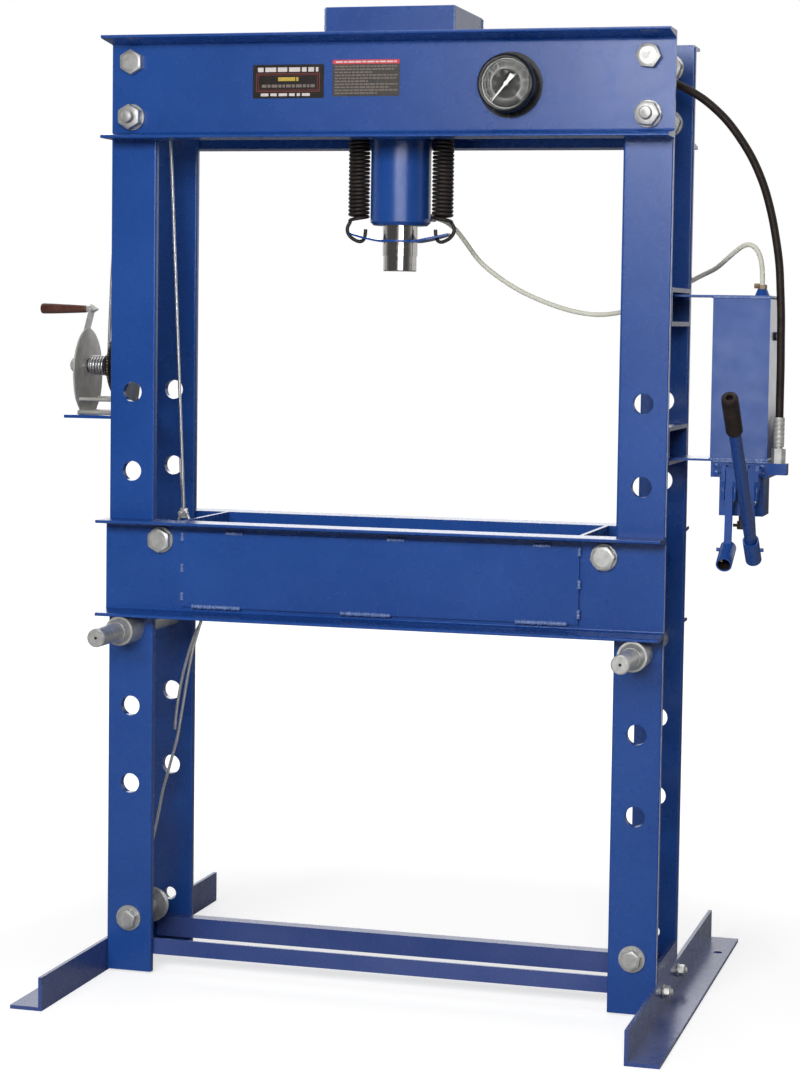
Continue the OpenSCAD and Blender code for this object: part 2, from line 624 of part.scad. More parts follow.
// strap under the ram that the two springs pull up
module spring_strap() color(blue) P() {
  xs = concat([for (k = [6:-1:1]) -strap_flat - (strap_end - strap_flat)*k/6], [-strap_flat, strap_flat],
    [for (k = [1:6]) strap_flat + (strap_end - strap_flat)*k/6]);
  prof = [for (x = xs) [x, strap_z + strap_rise*pow(max(0, abs(x) - strap_flat)/(strap_end - strap_flat), 1.2)]];
  wide = ram_d/2 + 8.5;
  difference() {
    intersection() {
      translate([0, wide, 0]) rotate([90, 0, 0]) linear_extrude(height=2*wide)
        polygon(concat([for (q = prof) q - [0, strap_t/2]], [for (k = [len(prof)-1:-1:0]) prof[k] + [0, strap_t/2]]));
      translate([0, 0, strap_z - strap_t]) linear_extrude(height=strap_rise + 2*strap_t) union() {
        circle(r=wide, $fn=64);
        polygon([[-60, -30], [60, -30], [strap_end, -14], [strap_end, 14], [60, 30], [-60, 30], [-strap_end, 14], [-strap_end, -14]]);
      }
    }
    zcyl(spigot_r + 0.1, 0, 0, strap_z - strap_t, strap_z + strap_t, 48);
    for (s = [-1, 1]) zcyl(strap_hole_r, s*strap_hole_x, 0, strap_z - strap_t, strap_z + strap_rise + strap_t, 24);
  }
}

// pressure gauge on the front channel
module gauge_case() color(black) P() {
  y = -yo - web_t;
  difference() {
    union() {
      ycyl(gauge_d/2 + 7, y - 4, y, gauge_x, gauge_z, 64);
      ycyl(gauge_d/2 - 4, y - 42, y - 3.9, gauge_x, gauge_z, 64);
      translate([gauge_x, y - 26, gauge_z]) rotate([90, 0, 0]) rotate_extrude($fn=72)
        polygon([[gauge_d/2 - 5, 0], [gauge_d/2 - 1.5, 0], [gauge_d/2, 2], [gauge_d/2, 15], [gauge_d/2 - 2, 20],
          [gauge_d/2 - 5, 21], [gauge_d/2 - 7, 18], [gauge_d/2 - 7, 14], [gauge_d/2 - 5, 14]]);
    }
    ycyl(gauge_d/2 - 7, y - 50, y - 32, gauge_x, gauge_z, 64);
    ycyl(2.05, y - 33, y - 10, gauge_x, gauge_z, 24);
  }
  ycyl(7, y - 0.5, -yi + 20, gauge_x, gauge_z, 24);
}
module gauge_dial() color([0.1, 0.1, 0.1]) P() difference() {
  y = -yo - web_t;
  ycyl(gauge_d/2 - 7.2, y - 34, y - 32, gauge_x, gauge_z, 64);
  ycyl(3, y - 35, y - 31, gauge_x, gauge_z, 24);
}
module gauge_needle() color([0.9, 0.9, 0.9]) P() {
  y = -yo - web_t;
  translate([gauge_x, y - 36, gauge_z]) rotate([90, needle_deg, 0]) {
    linear_extrude(height=1) polygon([[-5, -19], [5, -19], [1.8, -3], [0.5, 42], [-0.5, 42], [-1.8, -3]]);
    cylinder(r=4, h=2, $fn=24);
    translate([0, 0, -24]) cylinder(r=2, h=25, $fn=24);
  }
}
module gauge_glass() color([0.8, 0.9, 0.95, 0.3]) P() {
  y = -yo - web_t;
  ycyl(gauge_d/2 - 7.1, y - 43, y - 41, gauge_x, gauge_z, 64);
}

// two open boxes between the right uprights that the pump hangs from
module pump_brackets() color(blue) P() for (z = [bracket_lo, bracket_hi]) difference() {
  box(xo - bracket_d, xo, -yi, yi, z, z + bracket_h);
  box(xo - bracket_d + bracket_t, xo + 1, -yi + bracket_t, yi - bracket_t, z + bracket_t, z + bracket_h - bracket_t);
  xcyl(m10[0] + 0.5, xo - bracket_d - 1, xo - bracket_d + bracket_t + 1, 0, z == bracket_lo ? lug_bolt_lo : lug_bolt_hi, 24);
}
module pump_holder_plates() color(blue) P() {
  x0 = xo - bracket_d + bracket_t;
  for (k = [0, 1]) difference() {
    z = k == 0 ? tank_z - plate_t : tank_z + tank_h;
    union() {
      box(x0, tank_x + tank_w, -tank_d/2, tank_d/2, z, z + plate_t);
      if (k == 0) box(x0, x0 + plate_t, -tank_d/2, tank_d/2, z, z + lug_h);
      else {
        box(x0, x0 + plate_t, -tank_d/2, tank_d/2, z + plate_t - lug_h, z + plate_t);
        translate([fill_x, 0, z + plate_t - join]) cylinder(r1=14, r2=9, h=fill_h + join, $fn=32);
      }
    }
    xcyl(m10[0] + 0.5, x0 - 1, x0 + plate_t + 1, 0, k == 0 ? lug_bolt_lo : lug_bolt_hi, 24);
    if (k == 1) zcyl(fill_r, fill_x, 0, z - 1, z + plate_t + fill_h + 1, 24);
    if (k == 0) zcyl(feed_r, tank_x + tank_w/2, 0, z - 1, z + plate_t + 1, 24);
  }
}
module holder_bolts() for (z = [lug_bolt_lo, lug_bolt_hi]) {
  x0 = xo - bracket_d;
  x1 = x0 + bracket_t + plate_t;
  xcyl(m10[0], x0 - m10[2] - 5, x1 + m10[3] + 1, 0, z, 24);
  translate([x0 - m10[2], 0, z]) rotate([0, 90, 0]) cylinder(r=m10[1], h=m10[2], $fn=6);
  translate([x1, 0, z]) rotate([0, 90, 0]) cylinder(r=m10[1], h=m10[3], $fn=6);
}
module small_bolts() color(zinc) P() {
  foot_bolts();
  holder_bolts();
}
module pump_tank() color(blue) P() difference() {
  box(tank_x, tank_x + tank_w, -tank_d/2, tank_d/2, tank_z, tank_z + tank_h);
  box(tank_x + tank_t, tank_x + tank_w - tank_t, -tank_d/2 + tank_t, tank_d/2 - tank_t, tank_z + tank_t, tank_z + tank_h - tank_t);
  zcyl(fill_r, fill_x, 0, tank_z + tank_h - tank_t - 1, tank_z + tank_h + 1, 24);
  zcyl(feed_r, tank_x + tank_w/2, 0, tank_z - 1, tank_z + tank_t + 1, 24);
  xcyl(plug_r + run_gap, tank_x + tank_w - tank_t - 1, tank_x + tank_w + 1, plug_y, plug_z, 24);
}
module tank_plug() color(black) P() {
  xcyl(plug_r, tank_x + tank_w - tank_t, tank_x + tank_w + 1, plug_y, plug_z, 24);
  xcyl(plug_r + 3, tank_x + tank_w, tank_x + tank_w + 4, plug_y, plug_z, 24);
}
// pump: valve block with lever lugs and the body below with two plunger bores
module pump_base() color(blue) P() difference() {
  outlet = [hose_end[1] - 13, hose_end[1] + 13];
  union() {
    box(tank_x + 2, tank_x + tank_w + 3, -tank_d/2, tank_d/2, base_z, tank_z - plate_t);
    box(tank_x + 17, tank_x + tank_w - 7, -pump_d/2, pump_d/2, base_z - pump_h, base_z + join);
    box(tank_x + tank_w + 3 - join, pump_reach, outlet[0], outlet[1], base_z + 7, nut_z);
    for (x = lever_xs, k = [-1, 1]) translate([x + k*(lever_w/2 + 0.5 + lever_lug_t/2) - lever_lug_t/2, 0, base_z])
      rotate([90, 0, 90]) linear_extrude(height=lever_lug_t) polygon(lug_outline);
  }
  for (x = lever_xs) {
    ycyl(plunger_r + run_gap, -pump_d/2 - 1, pump_d/2 - 14, x, plunger_z, 32);
    xcyl(lever_pin_r + run_gap, x - lever_w/2 - 9, x + lever_w/2 + 9, lever_y, lever_z, 24);
  }
  zcyl(release_r + run_gap, release_x, release_y, base_z - pump_h - 1, base_z - 40, 24);
  zcyl(feed_r, tank_x + tank_w/2, 0, base_z + 10, tank_z, 24);
}
module plunger(i) color(steel) P() {
  x = lever_xs[i];
  y = lever_y + lever_t/2 + 0.6;
  ycyl(plunger_r, y + plunger_r, pump_d/2 - 30, x, plunger_z, 32);
  translate([x, y + plunger_r, plunger_z]) rotate([90, 0, 0]) sphere(r=plunger_r, $fn=32);
}
module plunger_left() plunger(0);
module plunger_right() plunger(1);

// lever bar hanging from its pivot pin, seen from the front as a slanted strip
module lever_bar(x, xb, zb) {
  w = lever_w/2;
  translate([0, lever_y + lever_t/2, 0]) rotate([90, 0, 0]) linear_extrude(height=lever_t)
    polygon([[x - w, lever_z + 8], [x - w, plunger_z - 10], [xb - w, zb], [xb + w, zb], [x + w, plunger_z - 10], [x + w, lever_z + 8]]);
  xcyl(lever_pin_r, x - w - 11, x + w + 11, lever_y, lever_z, 24);
}
// socket with one closed end and a set screw at height z on the side s
module socket(z, s) {
  cylinder(r=socket_r, h=socket_l, $fn=40);
  translate([s < 0 ? -socket_r - screw_out : socket_bore_r + 1, 0, z]) rotate([0, 90, 0])
    cylinder(r=screw_r, h=socket_r + screw_out - socket_bore_r - 1, $fn=24);
}
module socket_bore() translate([0, 0, socket_end]) cylinder(r=socket_bore_r, h=socket_l, $fn=40);
module at_left_socket() translate(left_socket_base) rotate([left_socket_tilt, 0, 0]) children();
module along_handle() translate(handle_base) rotate([handle_tilt, 0, 0]) children();
module pump_lever_left() color(blue) P() difference() {
  union() {
    lever_bar(lever_xs[0], left_socket_base[0], left_socket_base[2] - 4);
    at_left_socket() socket(socket_end, -1);
  }
  at_left_socket() socket_bore();
}
module pump_lever_right() color(blue) P() difference() {
  union() {
    lever_bar(lever_xs[1], handle_base[0], handle_base[2] + 14);
    along_handle() socket(socket_l/2 + 1, 1);
  }
  along_handle() socket_bore();
}
module pump_handle() color(blue) P() along_handle() difference() {
  translate([0, 0, socket_end + 0.1]) cylinder(r=handle_r, h=handle_l - grip_end - socket_end - 0.1, $fn=40);
  translate([0, 0, socket_end - 1]) cylinder(r=handle_r - 2.5, h=handle_l, $fn=32);
}
module handle_grip() color(black) P() along_handle() difference() {
  union() {
    translate([0, 0, handle_l - grip_l]) cylinder(r=grip_r, h=grip_l - 6, $fn=40);
    translate([0, 0, handle_l - 6]) cylinder(r1=grip_r, r2=grip_r - 2, h=6, $fn=40);
  }
  translate([0, 0, handle_l - grip_l - 1]) cylinder(r=handle_r + run_gap, h=grip_l - grip_end + 1 + run_gap, $fn=40);
  translate([0, 0, handle_l - grip_end - 1]) cylinder(r=6, h=grip_end + 2, $fn=24);
}
module release_valve() color(black) P() {
  z = base_z - pump_h - 26;
  zcyl(release_r, release_x, release_y, z, base_z - 42, 24);
  xcyl(3, release_x - 15, release_x + 15, release_y, z + 7, 20);
  zcyl(8, release_x, release_y, z, z + 15, 32);
}

// hose fittings: ferrules and nuts on the hoses, stub on the barrel's lower port, filler fitting on the tank
module hose_fittings() color(zinc) P() {
  fill_z = tank_z + tank_h + plate_t + fill_h;
  xcyl(10.5, hose_route[0][0] - 25, hose_route[0][0], port_y, port_z, 32);
  x = hose_end[0];
  y = hose_end[1];
  z1 = hose_end[2];
  zcyl(9.6, x, y, z1 - ferrule_l, z1, 32);
  zcyl(13, x, y, nut_z, z1 - ferrule_l - 3, 6);
  zcyl(7, x, y, z1 - ferrule_l - 3 - join, z1 - ferrule_l + join, 24);
  translate([0, 0, low_port_z]) rotate([0, 0, 45]) rotate([0, 90, 0]) translate([0, 0, cyl_d/2 + 6])
    cylinder(r=7.5, h=low_port_reach - cyl_d/2 - 6, $fn=6);
  translate([fill_x, 0, fill_z]) {
    cylinder(r=7, h=return_route[len(return_route)-1][2] - fill_z, $fn=6);
    translate([-14, 0, 6]) rotate([0, 90, 0]) cylinder(r=4.5, h=10, $fn=6);
  }
}
module pressure_hose() color(black) P() sweep(hose_route, hose_r, 10);
module return_hose() color([0.85, 0.85, 0.78]) P() sweep(return_route, return_r, 8, [0, 0, 1]);

// winch: platform between the left uprights, side plates on a base, drum and crank
module winch_platform() color(blue) P() {
  z = winch_base_z;
  box(-xo - platform_out, -xo + 12, -yi, yi, z - platform_t, z);
  box(-xo - 30, -xo, -40, 40, z - platform_t - 8, z - platform_t + join);
}
module winch_frame() color(zinc) P() {
  shield = [[-36, -90], [36, -90], [58, -64], [67, -30], [66, 5], [54, 38], [34, 60], [10, 72], [-12, 72],
    [-38, 58], [-58, 34], [-70, 2], [-70, -30], [-60, -64]];
  difference() {
    union() {
      box(plate_xs[0] - 3, plate_xs[1] + 13, -42, 42, winch_base_z, winch_base_z + 7);
      for (x = plate_xs) translate([x, 0, winch_z]) rotate([90, 0, 90]) linear_extrude(height=4) polygon(shield);
      xcyl(13, plate_xs[0] - 3, plate_xs[0] + 4, 0, winch_z, 32);
    }
    xcyl(shaft_r + run_gap, plate_xs[0] - 5, plate_xs[1] + 6, 0, winch_z, 32);
  }
  for (q = [[-46, -66], [46, -66]]) xcyl(4, plate_xs[0] - 3, plate_xs[1] + 7, q[0], winch_z + q[1], 20);
  for (q = [[-28, 44], [22, 52], [-52, -10], [48, 10], [-46, -66], [46, -66]])
    xcyl(5.5, plate_xs[0] - 3, plate_xs[0], q[0], winch_z + q[1], 20);
}
module winch_drum() color(black) P() {
  inner_x = coil_x0 + 2*cable_r*coil_turns + 0.2;
  xcyl(shaft_r, arm_x - 10, plate_xs[1] + 9, 0, winch_z, 32);
  xcyl(drum_r, plate_xs[0] + 4.5, plate_xs[1] - 0.5, 0, winch_z, 40);
  xcyl(disc_r, disc_x, disc_x + disc_t, 0, winch_z, 64);
  xcyl(inner_flange_r, inner_x, inner_x + 3, 0, winch_z, 48);
}
module cable_coil() color(steel) P() {
  mid = drum_r + 0.2 + cable_r;
  turns = [for (k = [0:coil_turns-1], a = [15:25:165])
    [mid + cable_r*sin(a), cable_r*(2*k + 1) - cable_r*cos(a)]];
  translate([coil_x0, 0, winch_z]) rotate([0, 90, 0]) rotate_extrude($fn=48)
    polygon(concat([[drum_r + 0.1, 0.1]], [for (q = turns) q], [[drum_r + 0.1, 2*cable_r*coil_turns - 0.1]]));
}
module at_crank() translate([0, 0, winch_z]) rotate([-crank_deg, 0, 0]) children();
module winch_crank() color(zinc) P() {
  at_crank() difference() {
    union() {
      box(arm_x, arm_x + arm_t, -8, 8, 0, crank_l);
      xcyl(14, arm_x, arm_x + arm_t, 0, 0, 32);
      xcyl(8, arm_x, arm_x + arm_t, 0, crank_l, 32);
    }
    xcyl(shaft_r + 0.02, arm_x - 1, arm_x + arm_t + 1, 0, 0, 32);
  }
  at_crank() {
    xcyl(spindle_r, grip_x0 + 6, arm_x + 1, 0, crank_l, 24);
    xcyl(spindle_r + 2.5, grip_x0 + 2.5, grip_x0 + 6.5, 0, crank_l, 24);
    xcyl(spindle_r + 2.5, arm_x - grip_gap + side_gap, arm_x + 1, 0, crank_l, 24);
    translate([arm_x + 1, 0, crank_l]) rotate([0, 90, 0]) cylinder(r1=10.5, r2=2, h=cap_l, $fn=32);
  }
  difference() {
    xcyl(13, arm_x - 8, arm_x - join, 0, winch_z, 6);
    xcyl(shaft_r + 0.02, arm_x - 9, arm_x + 1, 0, winch_z, 32);
  }
}
module winch_grip() color([0.35, 0.2, 0.12]) P() at_crank() difference() {
  x0 = grip_x0;
  union() {
    translate([x0, 0, crank_l]) rotate([0, 90, 0]) cylinder(r1=9, r2=10.5, h=3, $fn=40);
    translate([x0 + 3, 0, crank_l]) rotate([0, 90, 0]) cylinder(r1=10.5, r2=7, h=arm_x - grip_gap - x0 - 3, $fn=40);
  }
  xcyl(spindle_r + 0.06, x0 - 1, arm_x + 1, 0, crank_l, 24);
  xcyl(spindle_r + 2.8, x0 - 1, x0 + 6.8, 0, crank_l, 24);
}

// sheaves turn on Y axes between the left uprights
module sheave(x, z, groove_r, bore, w) difference() {
  r = groove_r + 7;
  translate([x, w/2, z]) rotate([90, 0, 0]) rotate_extrude($fn=72)
    polygon([[bore, 0], [r, 0], [r, 2], [groove_r + 0.4, w/2 - 2.4], [groove_r - 0.4, w/2], [groove_r + 0.4, w/2 + 2.4], [r, w - 2], [r, w], [bore, w]]);
}
module top_sheave() color(zinc) P() sheave(sheave_x, sheave_z, sheave_r, axle_r + run_gap, sheave_w);
module bottom_sheave() color(zinc) P() sheave(-cx, base_bolt_z, low_sheave_r, 12 + run_gap, sheave_w);
module sheave_axle() color(zinc) P() {
  ycyl(axle_r, -yi, yi, sheave_x, sheave_z, 32);
  for (s = [-1, 1]) ycyl(axle_r + 5, s < 0 ? -yi : sheave_w/2 + side_gap, s < 0 ? -sheave_w/2 - side_gap : yi, sheave_x, sheave_z, 32);
}

// wire rope: eye round the bed sleeve, clamp blocks, the lift run, the run to the winch and the lower run
function arc_pts(x, z, r, a0, a1, n) = [for (k = [0:n]) let(a = a0 + (a1 - a0)*k/n) [x + r*cos(a), 0, z + r*sin(a)]];
// angle at which a straight leg from p touches a circle of radius r about the origin
function touch(p, r, s) = atan2(p[1], p[0]) + s*acos(r/norm(p));
module cable_clamps() color(zinc) P() {
  er = sleeve_r + cable_r + 0.4;
  bolt = [-bed_bolt_x, bed_bolt_z];
  legs = [for (dx = [-4, 4]) [lift_from[0] + dx, lift_from[2] - 8]];
  sweep(concat([[legs[0][0], 0, legs[0][1]]],
    arc_pts(bolt[0], bolt[1], er, touch(legs[0] - bolt, er, 1), touch(legs[1] - bolt, er, -1) + 360, 14),
    [[legs[1][0], 0, legs[1][1]]]), cable_r, 8);
  box(lift_from[0] - 9, lift_from[0] + 8, -6, 12, lift_from[2] - 22, lift_from[2]);
  box(clamp_x - 7, clamp_x + 8, -6, 13, clamp_z, clamp_z + 14);
  box(-doubler_l/2 - 9, -doubler_l/2 - cross_t/2, -4, 4, clamp_z + 14 - join, bed_z + bed_root_t + 1);
  box(-doubler_l/2 - 9, -doubler_l/2 - cross_t/2, -12, 12, bed_z + bed_root_t, bed_z + bed_root_t + 24);
  sweep(lift_tail, cable_r, 8);
}
module lift_cable() color(steel) P() sweep([lift_from, lift_from + [0, 0, 3], lift_to], cable_r, 8);
module winch_cable() color(steel) P()
  sweep(concat(arc_pts(sheave_x, sheave_z, sheave_r + cable_r, 2.5, 180, 16),
    [[-579, 1, 1660], [-586, 6, 1500], [-596, 11, 1350], [-604, 17, winch_z + 16]]), cable_r, 8);
module lower_cable() color(steel) P() {
  sweep(concat(lower_route, arc_pts(-cx, base_bolt_z, low_sheave_r + cable_r, 165, 390, 20)), cable_r, 8);
  sweep(lower_tail, cable_r, 8);
}

column_front_left();
column_front_right();
column_rear_left();
column_rear_right();
head_channel_front();
head_channel_rear();
head_box();
frame_bolts();
cross_bars();
foot_left();
foot_right();
small_bolts();
bed_channel_front();
bed_channel_rear();
bed_plates();
bed_bolts();
bed_sleeves();
support_pin_left();
support_pin_right();
rear_collars();
cylinder_barrel();
cylinder_nut();
ram();
ram_nose();
spring_left();
spring_right();
spring_strap();
gauge_case();
gauge_dial();
gauge_needle();
gauge_glass();
pump_brackets();
pump_holder_plates();
pump_tank();
tank_plug();
pump_base();
plunger_left();
plunger_right();
pump_lever_left();
pump_lever_right();
pump_handle();
handle_grip();
release_valve();
hose_fittings();
pressure_hose();
return_hose();
winch_platform();
winch_frame();
winch_drum();
cable_coil();
winch_crank();
winch_grip();
top_sheave();
sheave_axle();
bottom_sheave();
cable_clamps();
lift_cable();
winch_cable();
lower_cable();
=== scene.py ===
import json
import math

import bmesh
import bpy
from mathutils import Matrix, Vector


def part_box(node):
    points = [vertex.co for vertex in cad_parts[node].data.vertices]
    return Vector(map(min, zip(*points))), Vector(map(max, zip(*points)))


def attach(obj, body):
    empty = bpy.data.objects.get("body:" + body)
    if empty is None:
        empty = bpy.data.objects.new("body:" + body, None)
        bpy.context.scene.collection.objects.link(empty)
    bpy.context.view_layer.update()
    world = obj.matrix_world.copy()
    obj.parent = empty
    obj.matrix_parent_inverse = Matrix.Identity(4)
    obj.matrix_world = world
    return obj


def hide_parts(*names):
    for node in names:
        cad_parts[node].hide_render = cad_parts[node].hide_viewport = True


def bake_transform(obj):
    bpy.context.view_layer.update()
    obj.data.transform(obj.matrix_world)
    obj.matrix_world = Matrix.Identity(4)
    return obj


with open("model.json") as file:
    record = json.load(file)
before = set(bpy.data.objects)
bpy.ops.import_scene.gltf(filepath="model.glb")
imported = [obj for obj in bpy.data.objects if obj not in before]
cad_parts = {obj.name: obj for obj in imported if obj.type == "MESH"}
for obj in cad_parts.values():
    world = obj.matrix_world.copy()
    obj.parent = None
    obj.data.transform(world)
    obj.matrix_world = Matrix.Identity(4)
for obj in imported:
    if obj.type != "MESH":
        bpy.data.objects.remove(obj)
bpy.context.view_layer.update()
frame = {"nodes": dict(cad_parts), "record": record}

# ---- places taken from the frame
MM = 0.001
UPRIGHT_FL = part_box("column_front_left")
UPRIGHT_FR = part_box("column_front_right")
UPRIGHT_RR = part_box("column_rear_right")
MID_X = (UPRIGHT_FL[0].x + UPRIGHT_FR[1].x) / 2
MID_Y = (UPRIGHT_FR[0].y + UPRIGHT_RR[1].y) / 2
COLUMN_X = (UPRIGHT_FR[0].x + UPRIGHT_FR[1].x) / 2 - MID_X
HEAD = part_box("head_channel_front")
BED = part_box("bed_channel_front")


def at(x, y, z):
    """A point from millimetres, counted from the middle of the uprights' width and depth."""
    return Vector((x * MM + MID_X, y * MM + MID_Y, z * MM))


def mid(x, y, z):
    """The same from metres."""
    return Vector((x + MID_X, y + MID_Y, z))


# ---- camera
def make_camera():
    data = bpy.data.cameras.new("camera")
    data.lens = 82.4
    data.sensor_width = 36.0
    data.shift_x = -0.0446
    data.shift_y = -0.0503
    data.clip_end = 50.0
    camera = bpy.data.objects.new("camera", data)
    bpy.context.scene.collection.objects.link(camera)
    azimuth, pitch, roll = 0.2614, 0.0666, 0.0152
    level = Vector((-math.sin(azimuth), math.cos(azimuth), 0))
    ahead = level * math.cos(pitch) - Vector((0, 0, math.sin(pitch)))
    right = Vector((math.cos(azimuth), math.sin(azimuth), 0))
    up = right.cross(ahead)
    rolled_right = right * math.cos(roll) + up * math.sin(roll)
    rolled_up = up * math.cos(roll) - right * math.sin(roll)
    turn = Matrix((rolled_right, rolled_up, -ahead)).transposed()
    camera.matrix_world = Matrix.Translation((1.3281, -4.5895, 1.2785)) @ turn.to_4x4()
    bpy.context.scene.camera = camera


make_camera()


# ---- materials
class Surface:
    """A procedural material while it is built: its nodes, its links and its shader."""

    def __init__(self, name):
        self.material = bpy.data.materials.new(name)
        self.material.use_nodes = True
        self.nodes, self.links = self.material.node_tree.nodes, self.material.node_tree.links
        self.shader = self.nodes["Principled BSDF"]

    def feed(self, **inputs):
        """Links or sets inputs of the shader; an underscore stands for a space in their names."""
        for name, value in inputs.items():
            socket = self.shader.inputs[name.replace("_", " ")]
            if isinstance(value, bpy.types.NodeSocket):
                self.links.new(value, socket)
            else:
                socket.default_value = value

    def noise(self, scale, detail, stretch=None):
        """Noise over the piece's own coordinates; stretch scales each axis."""
        source = self.nodes.new("ShaderNodeTexCoord").outputs["Object"]
        texture = self.nodes.new("ShaderNodeTexNoise")
        texture.inputs["Scale"].default_value = scale
        texture.inputs["Detail"].default_value = detail
        texture.inputs["Roughness"].default_value = 0.55
        if stretch:
            mapping = self.nodes.new("ShaderNodeMapping")
            mapping.inputs["Scale"].default_value = stretch
            self.links.new(source, mapping.inputs["Vector"])
            source = mapping.outputs["Vector"]
        self.links.new(source, texture.inputs["Vector"])
        return texture.outputs["Fac"]

    def ramp(self, value, low, high):
        """A colour or grey that runs from low to high over the middle of the value's range."""
        node = self.nodes.new("ShaderNodeValToRGB")
        for element, position, colour in zip(node.color_ramp.elements, (0.3, 0.7), (low, high)):
            element.position = position
            element.color = (*colour, 1) if hasattr(colour, "__len__") else (colour, colour, colour, 1)
        self.links.new(value, node.inputs["Fac"])
        return node.outputs["Color"]

    def bump(self, *heights):
        """Chains bump nodes; each height is (value, strength, distance)."""
        normal = None
        for value, strength, distance in heights:
            bump = self.nodes.new("ShaderNodeBump")
            bump.inputs["Strength"].default_value = strength
            bump.inputs["Distance"].default_value = distance
            self.links.new(value, bump.inputs["Height"])
            if normal is not None:
                self.links.new(normal, bump.inputs["Normal"])
            normal = bump.outputs["Normal"]
        if heights:
            self.feed(Normal=normal)


def coat(name, low, high, rough, grain, gloss, bumps, **more):
    """Colour and roughness drift with noise; grain, gloss and the first of each bump are its arguments."""
    surface = Surface(name)
    surface.feed(Base_Color=surface.ramp(surface.noise(*grain), low, high),
                 Roughness=surface.ramp(surface.noise(*gloss), *rough), **more)
    surface.bump(*((surface.noise(*fine), strength, distance) for fine, strength, distance in bumps))
    return surface.material


def blue_paint(name, low=(0.007, 0.046, 0.215), high=(0.013, 0.062, 0.262), rough=(0.24, 0.30)):
    """Glossy brushed-on enamel: small colour drift and orange peel."""
    return coat(name, low, high, rough, (4, 4), (26, 5),
                [((70, 3), 0.06, 0.0012), ((380, 2), 0.12, 0.0004)], Specular_IOR_Level=0.45)


def gauge_glass():
    """Thin clear glass that bends the light only a little."""
    glass = Surface("gauge_glass")
    glass.feed(Base_Color=(1, 1, 1, 1), Transmission_Weight=1.0, IOR=1.12,
               Roughness=glass.ramp(glass.noise(40.0, 2.0), 0.0, 0.03))
    return glass.material


def plain(name, low, high, rough, scale, bump, shine=0.5):
    """A non-metal with slight colour and gloss drift; bump is (scale, strength, distance)."""
    fine, strength, distance = bump
    return coat(name, low, high, rough, (scale, 4), (scale * 3, 3), [((fine, 2), strength, distance)],
                Specular_IOR_Level=shine)


def marking(name, colour):
    """Printed ink: even colour with a little wear."""
    return plain(name, tuple(0.8 * c for c in colour), colour, (0.40, 0.55), 300, (500, 0.05, 0.0001))


# dark and light colour, roughness from and to, scale of the drift, bump, shine where it isn't the usual
PLAIN = {
    "black_steel": ((0.012, 0.009, 0.008), (0.026, 0.019, 0.016), (0.34, 0.48), 40, (300, 0.1, 0.0003), 0.35),
    "black_plastic": ((0.008, 0.008, 0.009), (0.016, 0.016, 0.017), (0.2, 0.3), 30, (300, 0.05, 0.0002), 0.3),
    "dial_face": ((0.002, 0.002, 0.002), (0.004, 0.004, 0.004), (0.5, 0.6), 50, (400, 0.05, 0.0001), 0.05),
    "white_paint": ((0.62, 0.62, 0.60), (0.76, 0.76, 0.74), (0.45, 0.55), 50, (400, 0.05, 0.0001)),
    "black_rubber": ((0.009, 0.006, 0.005), (0.02, 0.013, 0.01), (0.42, 0.58), 60, (350, 0.12, 0.0003), 0.22),
    "clear_hose": ((0.52, 0.51, 0.43), (0.60, 0.59, 0.51), (0.50, 0.56), 12, (60, 0.01, 0.0001), 0.12),
    "brown_plastic": ((0.050, 0.015, 0.010), (0.095, 0.032, 0.022), (0.25, 0.4), 50, (200, 0.08, 0.0003)),
    "rivet": ((0.62, 0.61, 0.57), (0.78, 0.77, 0.73), (0.30, 0.45), 60, (400, 0.05, 0.0001)),
    # painted highlight: lilac-grey for the strips on edges that catch the light
    "painted_edge_highlight": ((0.24, 0.25, 0.36), (0.42, 0.42, 0.54), (0.35, 0.5), 90, (400, 0.05, 0.0001)),
    "brass": ((0.13, 0.085, 0.045), (0.24, 0.165, 0.090), (0.28, 0.42), 60, (300, 0.06, 0.0002)),
    # the weld beads' lighter, lilac-tinted blue is a painted highlight for the light their uneven surface
    # catches
    "bead": ((0.05, 0.10, 0.27), (0.16, 0.22, 0.42), (0.22, 0.34), 160, (500, 0.10, 0.0002), 0.6),
    "valve_brown": ((0.030, 0.018, 0.014), (0.060, 0.040, 0.034), (0.34, 0.46), 60, (300, 0.06, 0.0002)),
    # dark print of label a and the dial's band, and painted shade in the left socket's bore and the pins'
    # centre-drill holes
    "dark_print_and_painted_shade": ((0.012, 0.009, 0.008), (0.022, 0.017, 0.015), (0.34, 0.46), 80, (400, 0.05, 0.0001), 0.22),
    "label_grey": ((0.042, 0.037, 0.034), (0.066, 0.058, 0.052), (0.34, 0.46), 80, (400, 0.05, 0.0001), 0.22),
}
INKS = {"ink_light": (0.62, 0.56, 0.54), "ink_dial": (0.60, 0.60, 0.57), "ink_dim": (0.17, 0.14, 0.12),
        "ink_red": (0.58, 0.035, 0.055), "ink_maroon": (0.16, 0.025, 0.022), "ink_yellow": (0.50, 0.36, 0.05)}
SPANGLE, TURNED, GRAIN = (36, 5), (14, 5, (1, 1, 40)), (700, 2)
